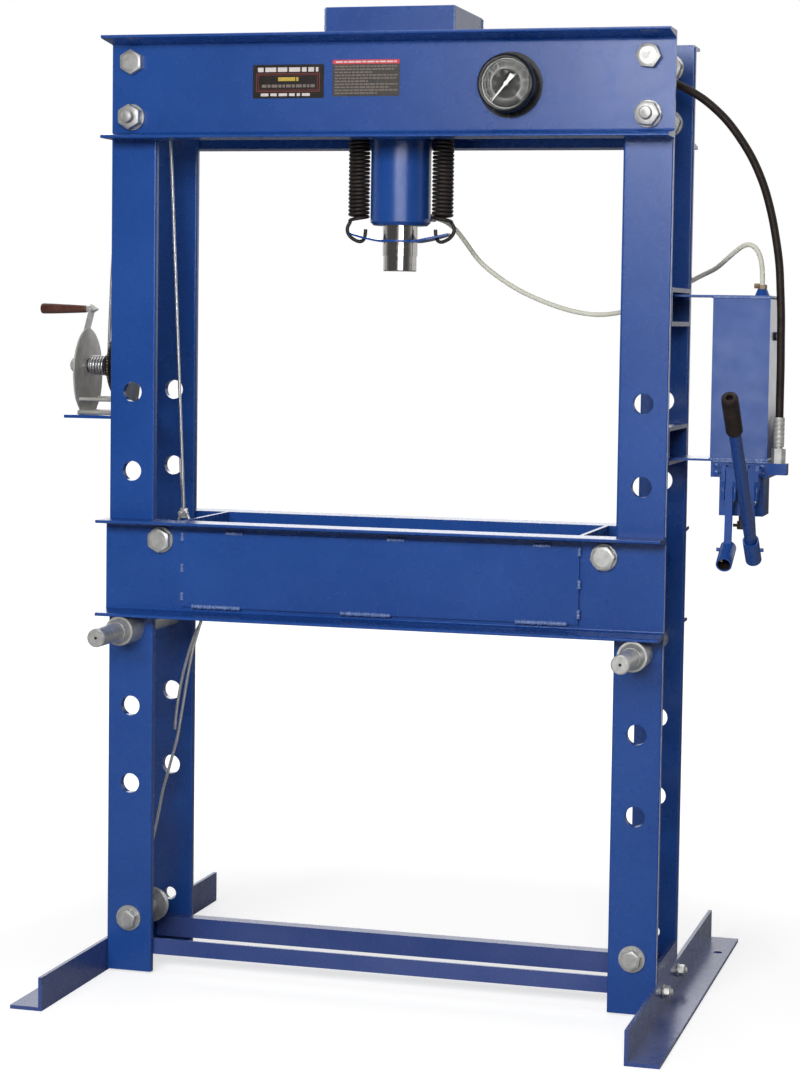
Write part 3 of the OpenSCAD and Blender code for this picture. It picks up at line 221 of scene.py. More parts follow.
MATERIALS = {
    "blue_paint": blue_paint("blue_paint"),
    "tank_blue": blue_paint("tank_blue", rough=(0.12, 0.19)),
    # a greyer, lighter blue for the feet and the cross bars
    "greyer_blue": blue_paint("greyer_blue", (0.026, 0.054, 0.200), (0.052, 0.080, 0.240)),
    # bright plate with a faint grain and a few dull patches
    "zinc": coat("zinc", (0.40, 0.40, 0.39), (0.62, 0.62, 0.60), (0.34, 0.54), (70, 4), (150, 3),
                 [((420, 2), 0.28, 0.0004)], Metallic=0.72),
    # hot-dipped plate of the winch, greyer and rougher
    "dull_zinc": coat("dull_zinc", (0.36, 0.35, 0.32), (0.50, 0.49, 0.46), (0.58, 0.44), SPANGLE, SPANGLE,
                      [((260, 3), 0.18, 0.0004)], Metallic=0.45),
    # polished bar, mirror-like, with very faint turning rings
    "ground_steel": coat("ground_steel", (0.38, 0.36, 0.34), (0.46, 0.44, 0.42), (0.07, 0.12), TURNED, TURNED,
                         [(TURNED, 0.02, 0.0002)], Metallic=1.0),
    "wire_rope": coat("wire_rope", (0.42, 0.42, 0.43), (0.80, 0.80, 0.82), (0.42, 0.30), GRAIN, GRAIN, [],
                      Metallic=1.0),
    "gauge_glass": gauge_glass(),
}
MATERIALS.update({name: plain(name, *values) for name, values in PLAIN.items()})
MATERIALS.update({name: marking(name, colour) for name, colour in INKS.items()})
# nodes whose finish isn't the one that their slot gives
FINISHES = {"foot_left": "greyer_blue", "foot_right": "greyer_blue", "cross_bars": "greyer_blue",
            "pump_tank": "tank_blue", "release_valve": "valve_brown"}


def dress_nodes():
    """Every CAD node gets the procedural material of its slot, or a finish of its own."""
    for part in frame["record"]["subparts"]:
        mesh = frame["nodes"][part["node"]].data
        mesh.materials.clear()
        mesh.materials.append(MATERIALS[FINISHES.get(part["node"], part["material_slot"])])


dress_nodes()


# ---- mesh helpers
def finish_mesh(name, bm, body, slot, replaces=(), smooth_angle=35, material=None):
    """Makes bm a piece that rides on a body, smooth up to an angle, in its slot's finish or its own."""
    bmesh.ops.recalc_face_normals(bm, faces=bm.faces)
    mesh = bpy.data.meshes.new(name)
    bm.to_mesh(mesh)
    bm.free()
    mesh.shade_smooth()
    mesh.set_sharp_from_angle(angle=math.radians(smooth_angle))
    mesh.materials.append(MATERIALS[material or slot])
    piece = bpy.data.objects.new(name, mesh)
    bpy.context.scene.collection.objects.link(piece)
    if body:
        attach(piece, body)
    if replaces:
        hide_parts(*replaces)
    return piece


def place(origin, axis, spin=0.0):
    """A matrix whose Z runs along axis from origin, turned by spin degrees about it."""
    turn = Vector(axis).to_track_quat("Z", "Y").to_matrix().to_4x4()
    return Matrix.Translation(Vector(origin)) @ turn @ Matrix.Rotation(math.radians(spin), 4, "Z")


def turn_angles(steps):
    """The angles of a full turn in equal steps."""
    return [2 * math.pi * k / steps for k in range(steps)]


def flat_ring(radius, height, angles):
    """Points round the Z axis at one height."""
    return [(radius * math.cos(a), radius * math.sin(a), height) for a in angles]


def add_rings(bm, rings, matrix=None, loop=False):
    """Joins rings of equal length into a skin, closed by its two ends or, with loop, by itself."""
    matrix = matrix or Matrix.Identity(4)
    made = [[bm.verts.new(matrix @ Vector(p)) for p in ring] for ring in rings]
    count = len(made[0])
    pairs = list(zip(made, made[1:]))
    if loop:
        pairs.append((made[-1], made[0]))
    for low, high in pairs:
        for k in range(count):
            bm.faces.new((low[k], low[(k + 1) % count], high[(k + 1) % count], high[k]))
    if not loop:
        bm.faces.new(list(reversed(made[0])))
        bm.faces.new(made[-1])


def add_lathe(bm, profile, matrix, steps=40, loop=False):
    """Turns (radius, height) pairs about Z; the first and last rings are filled or, with loop, joined."""
    angles = turn_angles(steps)
    add_rings(bm, [flat_ring(radius, height, angles) for radius, height in profile], matrix, loop)


def add_tube(bm, path, radius, sides=12, lobes=None):
    """Sweeps a round section along a path. lobes = (count, depth, pitch) gives twisted strands."""
    points = [Vector(p) for p in path]
    count = len(points)
    normal = None
    rings = []
    run = 0.0
    for i, point in enumerate(points):
        ahead = points[min(i + 1, count - 1)] - points[max(i - 1, 0)]
        ahead.normalize()
        if normal is None:
            side = Vector((0, 0, 1)) if abs(ahead.z) < 0.9 else Vector((0, 1, 0))
            normal = (side - ahead * side.dot(ahead)).normalized()
        else:
            normal = (normal - ahead * normal.dot(ahead)).normalized()
            run += (point - points[i - 1]).length
        across = ahead.cross(normal)
        ring = []
        for angle in turn_angles(sides):
            here = radius
            if lobes:
                strands, depth, pitch = lobes
                twist = angle + 2 * math.pi * run / pitch
                here += depth * (abs(math.cos(strands / 2 * twist)) - 1)
            ring.append(point + (normal * math.cos(angle) + across * math.sin(angle)) * here)
        rings.append(ring)
    add_rings(bm, rings)


def smooth_path(points, step):
    """A Catmull-Rom curve through the points, sampled about every step metres."""
    points = [Vector(p) for p in points]
    out = []
    for i in range(len(points) - 1):
        a, b = points[max(i - 1, 0)], points[i]
        c, d = points[i + 1], points[min(i + 2, len(points) - 1)]
        parts = max(1, round((c - b).length / step))
        for k in range(parts):
            t = k / parts
            out.append(0.5 * (2 * b + (c - a) * t + (2 * a - 5 * b + 4 * c - d) * t ** 2
                              + (3 * b - a - 3 * c + d) * t ** 3))
    out.append(points[-1])
    return out


def relaxed(points, rounds):
    """Evens out small kinks: each inner point moves to the mean of itself and its neighbours."""
    points = [Vector(p) for p in points]
    for _ in range(rounds):
        inner = [(a + 2 * b + c) / 4 for a, b, c in zip(points, points[1:], points[2:])]
        points = points[:1] + inner + points[-1:]
    return points


def add_box(bm, low, high, bevel=0.0):
    """A box between two corners with rounded edges, added without touching what is already in bm."""
    made = bmesh.new()
    bmesh.ops.create_cube(made, size=1.0)
    low, high = Vector(low), Vector(high)
    for vert in made.verts:
        vert.co = vert.co * (high - low) + (low + high) / 2
    if bevel:
        bmesh.ops.bevel(made, geom=list(made.edges), offset=bevel, segments=2, profile=0.5, affect="EDGES")
    mesh = bpy.data.meshes.new("box")
    made.to_mesh(mesh)
    made.free()
    bm.from_mesh(mesh)
    bpy.data.meshes.remove(mesh)


# ---- fasteners
def hex_radius(corner, angle):
    """Distance from a hexagon's centre to its outline in the direction of angle."""
    folded = (angle % (math.pi / 3)) - math.pi / 6
    return corner * math.cos(math.pi / 6) / math.cos(folded)


def add_hex(bm, matrix, corner, height, both=False, hole=0.0002):
    """A hexagon with its upper corners chamfered by a cone, or those of both sides, round a hole."""
    angles = turn_angles(72)
    flat = corner * math.cos(math.pi / 6) * 0.97
    slope = math.tan(math.radians(30))

    def outline(z, side):
        ring = []
        for a in angles:
            r = hex_radius(corner, a)
            ring.append((r * math.cos(a), r * math.sin(a), z - side * (r - flat) * slope))
        return ring

    rings = [outline(0, 0)]
    if both:
        rings = [flat_ring(hole, 0, angles), flat_ring(flat, 0, angles), outline(0, -1)]
    rings += [outline(height, 1), flat_ring(flat, height, angles), flat_ring(hole, height, angles)]
    add_rings(bm, rings, matrix)


def add_thread(bm, matrix, radius, length, pitch=0.003):
    """A stud end with a rolled helical thread and a chamfered tip."""
    rows = int(length / pitch * 8)
    chamfer_from = length - 0.6 * pitch
    rings = []
    for row in range(rows + 1):
        z = length * row / rows
        ring = []
        for k, a in enumerate(turn_angles(24)):
            phase = (z / pitch - k / 24) % 1.0
            depth = 0.55 * pitch * abs(phase - 0.5) * 2
            r = radius - 0.9 * depth - max(0.0, z - chamfer_from)
            ring.append((r * math.cos(a), r * math.sin(a), z))
        rings.append(ring)
    add_rings(bm, rings, matrix)


def add_washer(bm, matrix, radius, hole, height):
    """A flat washer with eased outer edges."""
    edge = 0.0006
    add_lathe(bm, [(hole, 0), (radius - edge, 0), (radius, edge), (radius, height - edge),
                   (radius - edge, height), (hole, height)], matrix)


# ---- sizes shared with the frame
BOLT_R = 0.012
HEX_CORNER = 0.0237
M24_WASHER = (0.025, 0.004)
M24_HEAD = 0.015
M24_NUT = 0.020
STUD = 0.012
FACE = 0.117                       # outer faces of the uprights, from mid-depth
WEB = 0.008
INNER = FACE - 0.016               # inner faces of the uprights
BED_WEB = FACE + 0.001 + WEB       # outer faces of the bed's webs
BASE_BOLT_Z = 0.108
BED_BOLT_X, BED_BOLT_Z = 0.433, BED[0].z + 0.146
BRACKET_Z = (1.021, 1.275)         # undersides of the pump brackets


# ---- hoses and ropes
HOSE_ROUTE = [(95, -17, 1765), (150, -17, 1765), (205, -17, 1762), (260, -17, 1758), (320, -17, 1753),
              (380, -17, 1748), (430, -17, 1742), (480, -17, 1734), (525, -17, 1721), (563, -17, 1702),
              (592, -17, 1682), (625, -18, 1651), (654, -19, 1613), (677, -21, 1575), (697, -23, 1529),
              (712, -26, 1478), (723, -30, 1425), (729, -34, 1386), (732, -37, 1347), (735, -41, 1298),
              (736, -43, 1250), (737, -45, 1205), (737, -45, 1158), (737, -45, 1112)]
RETURN_ROUTE = [(54, 54, 1475), (58, 58, 1475), (66, 66, 1473), (77, 79, 1465), (88, 95, 1451),
                (98, 111, 1434), (109, 126, 1414), (122, 137, 1394), (146, 142, 1374), (177, 142, 1353),
                (208, 142, 1336), (243, 142, 1321), (280, 142, 1308), (320, 142, 1298), (362, 142, 1294),
                (405, 141, 1300), (440, 140, 1311), (475, 140, 1327), (510, 140, 1345), (542, 139, 1363),
                (563, 128, 1373), (582, 108, 1380), (597, 82, 1386), (611, 55, 1394), (627, 32, 1405),
                (645, 15, 1418), (660, 5, 1429), (672, 0, 1431), (682, 0, 1424), (689, 0, 1410),
                (692, 0, 1394), (694, 0, 1376), (694, 0, 1354)]
LIFT_ROUTE = [(-436, 0, 904), (-436, 0, 907), (-472, 0, 1692)]
WINCH_ROUTE = [(-579, 1, 1660), (-586, 6, 1500), (-596, 11, 1350), (-604, 17, 1196)]
LOWER_ROUTE = [(-399, 0, 680), (-399, 0, 677), (-412, 0, 633), (-420, 0, 596), (-426, 0, 563),
               (-431, 0, 532), (-436, 0, 502), (-441, 0, 472), (-447, 0, 440), (-457, 0, 405),
               (-466, 0, 372), (-475, 0, 340), (-481, 0, 310), (-487, 0, 279), (-497, 0, 234),
               (-506, 0, 198), (-516, 0, 158)]
LOWER_TAIL = [(-401, 8, 680), (-401, 8, 677), (-408, 8, 664), (-417, 8, 643), (-427, 8, 612),
              (-436, 8, 580), (-440, 8, 562), (-445, 8, 537), (-449, 8, 512), (-452, 8, 487),
              (-454, 8, 462)]
LIFT_TAIL = [(-440, 7, 900), (-442, 8, 935), (-445, 8, 968), (-447, 9, 1000)]
ROPE_R = 0.003
STRANDS = (6, 0.0009, 0.045)


def millimetres(points):
    return [at(*p) for p in points]


def arc(x, z, radius, start, stop, parts):
    """Points on a circle in the plane of the frame's middle."""
    angles = [math.radians(start + (stop - start) * k / parts) for k in range(parts + 1)]
    return [mid(x + radius * math.cos(a), 0, z + radius * math.sin(a)) for a in angles]


def lay_cord(name, path, radius, sides, slot, node, lobes=None, ends=None):
    """A cord along a path, on the frame, or between bed and frame where ends gives its two ends."""
    bm = bmesh.new()
    add_tube(bm, path, radius, sides, lobes)
    piece = finish_mesh(name, bm, None if ends else "frame", slot, (node,) if node else (), 60)
    if ends:
        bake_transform(piece)


def hoses():
    path = smooth_path(millimetres(HOSE_ROUTE), 0.006)
    lay_cord("pressure_hose_skin", path, 0.0074, 24, "black_rubber", "pressure_hose")
    path = relaxed(smooth_path(millimetres(RETURN_ROUTE), 0.005), 18)
    lay_cord("return_hose_skin", path, 0.0045, 40, "clear_hose", "return_hose")


def rope(name, path, node, ends=None):
    """A six-strand wire rope."""
    lay_cord(name, path, ROPE_R, 18, "wire_rope", node, STRANDS, ends)


def ropes():
    route = millimetres(LIFT_ROUTE)
    rope("lift_rope", smooth_path(route, 0.004), "lift_cable", ends=(route[0], route[-1]))
    path = arc(-0.525, 1.690, 0.053, 2.5, 180, 40) + smooth_path(millimetres(WINCH_ROUTE), 0.004)
    rope("winch_rope", path, "winch_cable")
    route = millimetres(LOWER_ROUTE)
    ends = (route[0], route[-1])
    round_sheave = arc(-COLUMN_X, BASE_BOLT_Z, 0.030, 165, 390, 24)
    rope("lower_rope", smooth_path(route + round_sheave, 0.004), "lower_cable", ends=ends)
    rope("lower_rope_tail", smooth_path(millimetres(LOWER_TAIL), 0.004), None, ends)


# ---- fasteners of the frame and the bed
def on_washer(bm, point, direction, washer, hole):
    """Where a head or nut starts on the face at point: on a washer, which is added, if there is one."""
    base = place(point, direction)
    if washer:
        radius, height = washer
        add_washer(bm, base, radius, hole, height)
        base = base @ Matrix.Translation((0, 0, height))
    return base


def add_bolt_head(bm, point, direction, corner=HEX_CORNER, height=M24_HEAD, washer=M24_WASHER, spin=20.0):
    """A forged head on the face at point, facing direction, with a shallow crown."""
    base = on_washer(bm, point, direction, washer, BOLT_R)
    add_hex(bm, base @ Matrix.Rotation(math.radians(spin), 4, "Z"), corner, height)
    crown = [(corner * 0.70, 0), (corner * 0.68, 0.0004), (corner * 0.2, 0.0005), (0.0002, 0.0005)]
    add_lathe(bm, crown, base @ Matrix.Translation((0, 0, height - 0.0001)), 32)


def add_bolt_nut(bm, point, direction, corner=HEX_CORNER, height=M24_NUT, stud=STUD, radius=BOLT_R,
                 washer=M24_WASHER, spin=10.0):
    """A nut on the face at point and the threaded stud end that stands out of it."""
    base = on_washer(bm, point, direction, washer, radius)
    add_hex(bm, base @ Matrix.Rotation(math.radians(spin), 4, "Z"), corner, height, True, radius * 0.9)
    add_thread(bm, base @ Matrix.Translation((0, 0, height * 0.6)), radius, height * 0.4 + stud)


def add_shank(bm, start, direction, radius, length, steps=24):
    """A plain round bar."""
    add_lathe(bm, [(radius, 0), (radius, length)], place(start, direction), steps)


def frame_bolts():
    """Bolts of the head to the uprights, and one at each side of the base, the left long with a spacer."""
    bm = bmesh.new()
    low_z, high_z = HEAD[0].z + 0.043, HEAD[1].z - 0.045
    for side in (-1, 1):
        x = side * COLUMN_X
        spin = 30.0 if side < 0 else -6.0
        for end in (-1, 1):
            out, inn = Vector((0, end, 0)), Vector((0, -end, 0))
            for z in (low_z, high_z):
                outside, inside = mid(x, end * (FACE + WEB), z), mid(x, end * INNER, z)
                if end < 0 and z == low_z:
                    add_bolt_nut(bm, outside, out, spin=spin)
                    add_bolt_head(bm, inside, inn)
                else:
                    add_bolt_head(bm, outside, out, washer=None, spin=spin)
                    add_bolt_nut(bm, inside, inn)
                add_shank(bm, inside, out, BOLT_R, FACE + WEB - INNER)
        front, back = mid(x, -FACE, BASE_BOLT_Z), mid(x, -INNER, BASE_BOLT_Z)
        add_bolt_head(bm, front, (0, -1, 0), corner=0.0195)
        if side > 0:
            add_bolt_nut(bm, back, (0, 1, 0))
            add_shank(bm, front, (0, 1, 0), BOLT_R, FACE - INNER)
        else:
            # the left one is longer, for a spacer and the bottom sheave; half is half that sheave's thickness
            half = 0.007
            add_shank(bm, front, (0, 1, 0), BOLT_R, FACE + half + 0.001)
            spacer = [(0.0145, 0), (0.016, 0.0015), (0.016, INNER - half - 0.0018),
                      (0.0145, INNER - half - 0.0003)]
            add_lathe(bm, spacer, place(back, (0, 1, 0)), 32)
            add_bolt_nut(bm, mid(x, half + 0.0003, BASE_BOLT_Z), (0, 1, 0), washer=None)
    finish_mesh("frame_bolt_set", bm, "frame", "zinc", ("frame_bolts",))


def bed_bolts():
    """The two through bolts of the bed, head in front and nut behind."""
    bm = bmesh.new()
    for x, spin in ((-BED_BOLT_X, 30.0), (BED_BOLT_X, 8.0)):
        add_bolt_head(bm, mid(x, -BED_WEB, BED_BOLT_Z), (0, -1, 0), spin=spin)
        add_bolt_nut(bm, mid(x, BED_WEB, BED_BOLT_Z), (0, 1, 0))
        add_shank(bm, mid(x, -BED_WEB, BED_BOLT_Z), (0, 1, 0), BOLT_R, 2 * BED_WEB)
    finish_mesh("bed_bolt_set", bm, "bed", "zinc", ("bed_bolts",))


def small_bolts():
    """The feet's bolts through the uprights and the pump brackets' bolts."""
    bm = bmesh.new()
    leg, high = UPRIGHT_FR[1].x - MID_X + 0.007, 0.042
    for side in (-1, 1):
        for y in (-0.080, 0.080):
            outside, inside = mid(side * leg, y, high), mid(side * (leg - 0.015), y, high)
            add_bolt_nut(bm, outside, (side, 0, 0), 0.0115, 0.011, 0.0055, 0.007, (0.013, 0.0025))
            add_bolt_head(bm, inside, (-side, 0, 0), 0.0115, 0.008, None)
            add_shank(bm, inside, (side, 0, 0), 0.007, 0.018, 20)
    bracket_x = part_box("pump_brackets")[0].x
    for z in (1.051, 1.313):
        outside = Vector((bracket_x, MID_Y, z))
        inside = outside + Vector((0.012, 0, 0))
        add_bolt_head(bm, outside, (-1, 0, 0), 0.0098, 0.009, None)
        add_bolt_nut(bm, inside, (1, 0, 0), 0.0098, 0.008, 0.001, 0.005, None)
        add_shank(bm, outside, (1, 0, 0), 0.005, 0.012, 20)
    finish_mesh("small_bolt_set", bm, "frame", "zinc", ("small_bolts",))


# ---- springs
HOOK = [(-13.7, 23), (-13.2, 15), (-12, 8), (-9, 2.2), (-4, -0.6), (2, 0), (8, 2.6), (14.5, 6.6),
        (20.6, 13.6), (23, 21), (22, 28.5), (18.5, 34.5)]


def springs():
    """Closed-coil return springs: a C-shaped hook through the strap, coils, a hook into the carrier."""
    wire, x0, radius, strap = 0.0035, 0.083, 0.0173, 1.428
    pitch, turns, low, steps = 0.0075, 24, 1.475, 24
    top, rise = low + turns * pitch, strap + 0.038
    for name, side in (("spring_left", -1), ("spring_right", 1)):
        def spot(x, y, z):
            return mid(side * x, y, z)

        path = smooth_path([spot(x0 + dx * MM, 0, strap + dz * MM) for dx, dz in HOOK], 0.003)
        for k in range(12):
            a = math.pi * k / 12
            z = rise + (low - rise) * k / 12
            path.append(spot(x0 + radius * math.cos(a), -radius * math.sin(a), z))
        for k in range(turns * steps + 1):
            a = 2 * math.pi * k / steps
            path.append(spot(x0 - radius * math.cos(a), radius * math.sin(a), low + pitch * k / steps))
        path += smooth_path([spot(x0 - radius * 0.6, radius * 0.3, top + 0.005),
                             spot(x0 - radius * 0.2, radius * 0.15, top + 0.009),
                             spot(x0, 0, top + 0.014), spot(x0, 0, 1.686)], 0.004)
        bm = bmesh.new()
        add_tube(bm, path, wire, 10)
        piece = finish_mesh(name + "_coil", bm, None, "black_steel", (name,), 60)
        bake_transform(piece)


# ---- gauge
GAUGE_X, GAUGE_Z = 0.242, 1.710
DIAL_Y = -(FACE + WEB + 0.034)
NEEDLE_DEG = 219.0
DIAL_START, DIAL_SWEEP = 225.0, 270.0


def on_dial(radius, degrees, out=0.0):
    """A point on the dial; degrees run clockwise from straight up, seen from the front."""
    a = math.radians(degrees)
    return mid(GAUGE_X + radius * math.sin(a), DIAL_Y - out, GAUGE_Z + radius * math.cos(a))


def add_tick(bm, inner, outer, degrees, width):
    turn = math.radians(degrees)
    across = Vector((math.cos(turn), 0, -math.sin(turn))) * width / 2
    low, high = on_dial(inner, degrees), on_dial(outer, degrees)
    loop = [low - across, low + across, high + across, high - across]
    add_rings(bm, [loop, [p + Vector((0, -0.0003, 0)) for p in loop]])


def add_ring(bm, inner, outer, out=0.0003):
    """A flat ring printed on the dial."""
    section = [(inner, 0), (outer, 0), (outer, out), (inner, out)]
    add_lathe(bm, section, place(mid(GAUGE_X, DIAL_Y, GAUGE_Z), (0, -1, 0)), 96, True)


def add_number(bm, text, centre, size):
    """A printed number, 0.3 mm thick, standing upright on the dial."""
    curve = bpy.data.curves.new("number", "FONT")
    curve.body, curve.size, curve.extrude = text, size, 0.00015
    curve.align_x, curve.align_y = "CENTER", "CENTER"
    carrier = bpy.data.objects.new("number", curve)
    mesh = bpy.data.meshes.new_from_object(carrier)
    turn = Matrix.Translation(centre + Vector((0, -0.00015, 0))) @ Matrix.Rotation(math.pi / 2, 4, "X")
    mesh.transform(turn)
    bm.from_mesh(mesh)
    bpy.data.objects.remove(carrier)
    bpy.data.meshes.remove(mesh)
    bpy.data.curves.remove(curve)


def add_scale(bm, parts, outer, short, long, thin, thick):
    """Ticks round the dial, every fifth one long and thick."""
    for k in range(parts + 1):
        inner, width = (short, thin) if k % 5 else (long, thick)
        add_tick(bm, inner, outer, DIAL_START + DIAL_SWEEP * k / parts, width)


def add_numbers(bm, count, step, radius, size):
    for k in range(count):
        add_number(bm, str(k * step), on_dial(radius, DIAL_START + DIAL_SWEEP * k / (count - 1)), size)


def gauge():
    """What shows behind the glass: scales, numbers, band, the bezel's lip and the needle."""
    bm = bmesh.new()
    add_scale(bm, 50, 0.0425, 0.0385, 0.0365, 0.0006, 0.0011)
    add_scale(bm, 30, 0.0290, 0.0265, 0.0250, 0.0005, 0.0009)
    add_ring(bm, 0.0290, 0.0297)
    add_ring(bm, 0.0440, 0.0452)
    add_numbers(bm, 11, 1, 0.0333, 0.0068)
    add_numbers(bm, 7, 10, 0.0206, 0.0050)
    finish_mesh("dial_marks", bm, "frame", "white_paint", material="ink_dial")

    bm = bmesh.new()
    add_ring(bm, 0.0304, 0.0358, 0.0001)
    finish_mesh("dial_band", bm, "frame", "dial_face", material="dark_print_and_painted_shade")

    # polished inner lip of the bezel
    bm = bmesh.new()
    lip = [(0.0462, 0.012), (0.0470, 0.001), (0.0478, 0), (0.0486, 0.0006), (0.0480, 0.013)]
    add_lathe(bm, lip, place(mid(GAUGE_X, DIAL_Y - 0.013, GAUGE_Z), (0, 1, 0)), 96, True)
    finish_mesh("bezel_lip", bm, "frame", "zinc")

    # the needle tapers to its tip and widens to a tail behind the hub
    bm = bmesh.new()
    a = math.radians(NEEDLE_DEG)
    ahead, across = Vector((math.sin(a), 0, math.cos(a))), Vector((math.cos(a), 0, -math.sin(a)))
    hub = mid(GAUGE_X, DIAL_Y - 0.002, GAUGE_Z)
    outline = [(-0.019, 0.005), (-0.003, 0.0018), (0.042, 0.0005),
               (0.042, -0.0005), (-0.003, -0.0018), (-0.019, -0.005)]
    loop = [hub + ahead * run + across * half for run, half in outline]
    add_rings(bm, [loop, [p + Vector((0, -0.001, 0)) for p in loop]])
    cap = [(0.0040, 0), (0.0040, 0.0014), (0.0034, 0.0020), (0.0004, 0.0021)]
    add_lathe(bm, cap, place(hub, (0, -1, 0)), 32)
    add_shank(bm, hub + Vector((0, 0.024, 0)), (0, -1, 0), 0.002, 0.0245, 16)
    finish_mesh("needle", bm, "needle", "white_paint", ("gauge_needle",))


# ---- labels, left generic
def add_plate(bm, corners, back, front):
    """A thin solid between two offsets along Y over a loop of (x, z) corners in metres."""
    add_rings(bm, [[(x, y, z) for x, z in corners] for y in (back, front)])


def word_line(bm, x0, x1, z, height, block, y, gap, seed):
    """A line of plain blocks of uneven length in place of words."""
    x = x0
    state = seed
    while x < x1 - 0.002:
        state = (state * 137 + 71) % 101
        stop = min(x + block * (0.5 + state / 101), x1)
        add_plate(bm, [(x, z), (stop, z), (stop, z + height), (x, z + height)], y, y - 0.00025)
        x = stop + gap


def label_frame(bm, x0, x1, z0, z1, width, y):
    """A printed border: low, high, left and right bars."""
    for a, b, c, d in ((x0, x1, z0, z0 + width), (x0, x1, z1 - width, z1),
                       (x0, x0 + width, z0 + width, z1 - width), (x1 - width, x1, z0 + width, z1 - width)):
        add_plate(bm, [(a, c), (b, c), (b, d), (a, d)], y, y - 0.0002)


def rounded(x0, x1, z0, z1, radius):
    """A rectangle's corners rounded, from the middle of the uprights' width."""
    left, right, low, high = x0 + radius, x1 - radius, z0 + radius, z1 - radius
    loop = []
    for cx, cz, first in ((right, high, 0), (left, high, 90), (left, low, 180), (right, low, 270)):
        for k in range(5):
            a = math.radians(first + 22.5 * k)
            loop.append((cx + radius * math.cos(a) + MID_X, cz + radius * math.sin(a)))
    return loop


def labels():
    """Two plates on the head's front, printed with blocks in place of words."""
    face = MID_Y - (FACE + WEB)
    ink = face - 0.0006

    def plate(name, box, radius, back, front, slot, material):
        bm = bmesh.new()
        add_plate(bm, rounded(*box, radius), back, front)
        finish_mesh(name, bm, "frame", slot, material=material)

    def words(name, material, lines, y=ink):
        """Each line is (left, right, foot, height, block, gap, seed)."""
        bm = bmesh.new()
        for left, right, foot, height, block, gap, seed in lines:
            word_line(bm, MID_X + left, MID_X + right, foot, height, block, y, gap, seed)
        finish_mesh(name, bm, "frame", "white_paint", material=material)

    plate("label_a", (-0.256, -0.116, 1.6895, 1.752), 0.003, face, ink, "dial_face", "dark_print_and_painted_shade")
    words("label_a_light", "ink_light", [(-0.246, -0.127, 1.7385, 0.0082, 0.016, 0.0035, 7),
                                         (-0.240, -0.142, 1.6935, 0.0052, 0.012, 0.0040, 3)])
    bm = bmesh.new()
    label_frame(bm, MID_X - 0.249, MID_X - 0.124, 1.7015, 1.7360, 0.0014, ink)
    label_frame(bm, MID_X - 0.245, MID_X - 0.128, 1.7045, 1.7330, 0.0008, ink)
    finish_mesh("label_a_frame", bm, "frame", "white_paint", material="ink_maroon")
    words("label_a_mark", "ink_yellow", [(-0.206, -0.166, 1.7215, 0.0070, 0.030, 0.0020, 11)])
    words("label_a_dim", "ink_dim", [(-0.238, -0.134, 1.7095, 0.0055, 0.009, 0.0022, 5)])

    plate("label_b", (-0.099, 0.031, 1.692, 1.7595), 0.003, face, ink, "dial_face", "label_grey")
    strip = ink - 0.0003
    plate("label_b_strip", (-0.099, 0.031, 1.7515, 1.7595), 0.002, ink, strip, "white_paint", "ink_red")
    stops = (0.027, 0.020, -0.02, 0.027, 0.024, -0.03, 0.027, 0.010, 0.027, -0.012)
    words("label_b_lines", "ink_dim", [(-0.095, stop, 1.7460 - 0.0055 * k, 0.0026, 0.008, 0.0016, 13 + 7 * k)
                                       for k, stop in enumerate(stops)])
    words("label_b_light", "ink_light", [(-0.093, 0.025, 1.7540, 0.0030, 0.010, 0.0020, 23)], strip)


# ---- welds
def weld(bm, points, radius, pitch=0.0062):
    """A hand-laid bead: a round section that swells and shrinks along the joint."""
    step = pitch / 4
    path = []
    for a, b in zip(points, points[1:]):
        parts = max(2, round((b - a).length / step))
        path += [a.lerp(b, k / parts) for k in range(parts)]
    path.append(points[-1])
    last = len(path) - 1
    normal = None
    rings = []
    for i, point in enumerate(path):
        ahead = (path[min(i + 1, last)] - path[max(i - 1, 0)]).normalized()
        if normal is None:
            normal = ahead.orthogonal().normalized()
        normal = (normal - ahead * normal.dot(ahead)).normalized()
        across = ahead.cross(normal)
        wave = 2 * math.pi * i * step / pitch
        here = radius * (1 + 0.16 * math.sin(wave) + 0.10 * math.sin(0.37 * wave + 1))
        if i in (0, last):
            here *= 0.4
        rings.append([point + (normal * math.cos(a) + across * math.sin(a)) * here for a in turn_angles(10)])
    add_rings(bm, rings)


def welds():
    """Beads of the tank, the box on the head, the pump brackets and the bed."""
    low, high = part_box("pump_tank")
    bm = bmesh.new()
    for z in (low.z, high.z):
        corners = [(low.x, low.y), (high.x, low.y), (high.x, high.y), (low.x, high.y), (low.x, low.y)]
        weld(bm, [Vector((x, y, z)) for x, y in corners], 0.0022)
    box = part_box("head_box")
    for x in (box[0].x, box[1].x):
        for y in (MID_Y - 0.092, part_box("head_channel_rear")[0].y):
            weld(bm, [Vector((x, y, HEAD[1].z + 0.001)), Vector((x, y, box[1].z - 0.002))], 0.0022)
    for z in BRACKET_Z:
        for end in (-1, 1):
            y = MID_Y + end * (INNER - 0.001)
            for x in (UPRIGHT_FR[0].x + 0.034, UPRIGHT_FR[1].x - 0.002):
                weld(bm, [Vector((x, y, z + 0.004)), Vector((x, y, z + 0.066))], 0.0024)
    # the beads' lighter blue is a painted highlight
    finish_mesh("frame_welds", bm, "frame", "blue_paint", smooth_angle=80, material="bead")

    bm = bmesh.new()
    low, high = BED[0].z + 0.0205, BED[1].z - 0.021
    for end in (-1, 1):
        y = end * (BED_WEB + 0.005)
        for x in (-0.368, -0.070, 0.268):
            weld(bm, [mid(x, y, low), mid(x + 0.100, y, low)], 0.0042)
        for x in (-0.300, 0.020, 0.300):
            weld(bm, [mid(x, y, high), mid(x + 0.035, y, high)], 0.0032)
        for x in (-0.388, 0.388):
            for z in (0.735, 0.790, 0.850):
                weld(bm, [mid(x, y, z), mid(x, y, z + 0.018)], 0.0036)
    # the beads' lighter blue is a painted highlight
    finish_mesh("bed_welds", bm, "bed", "blue_paint", smooth_angle=80, material="bead")


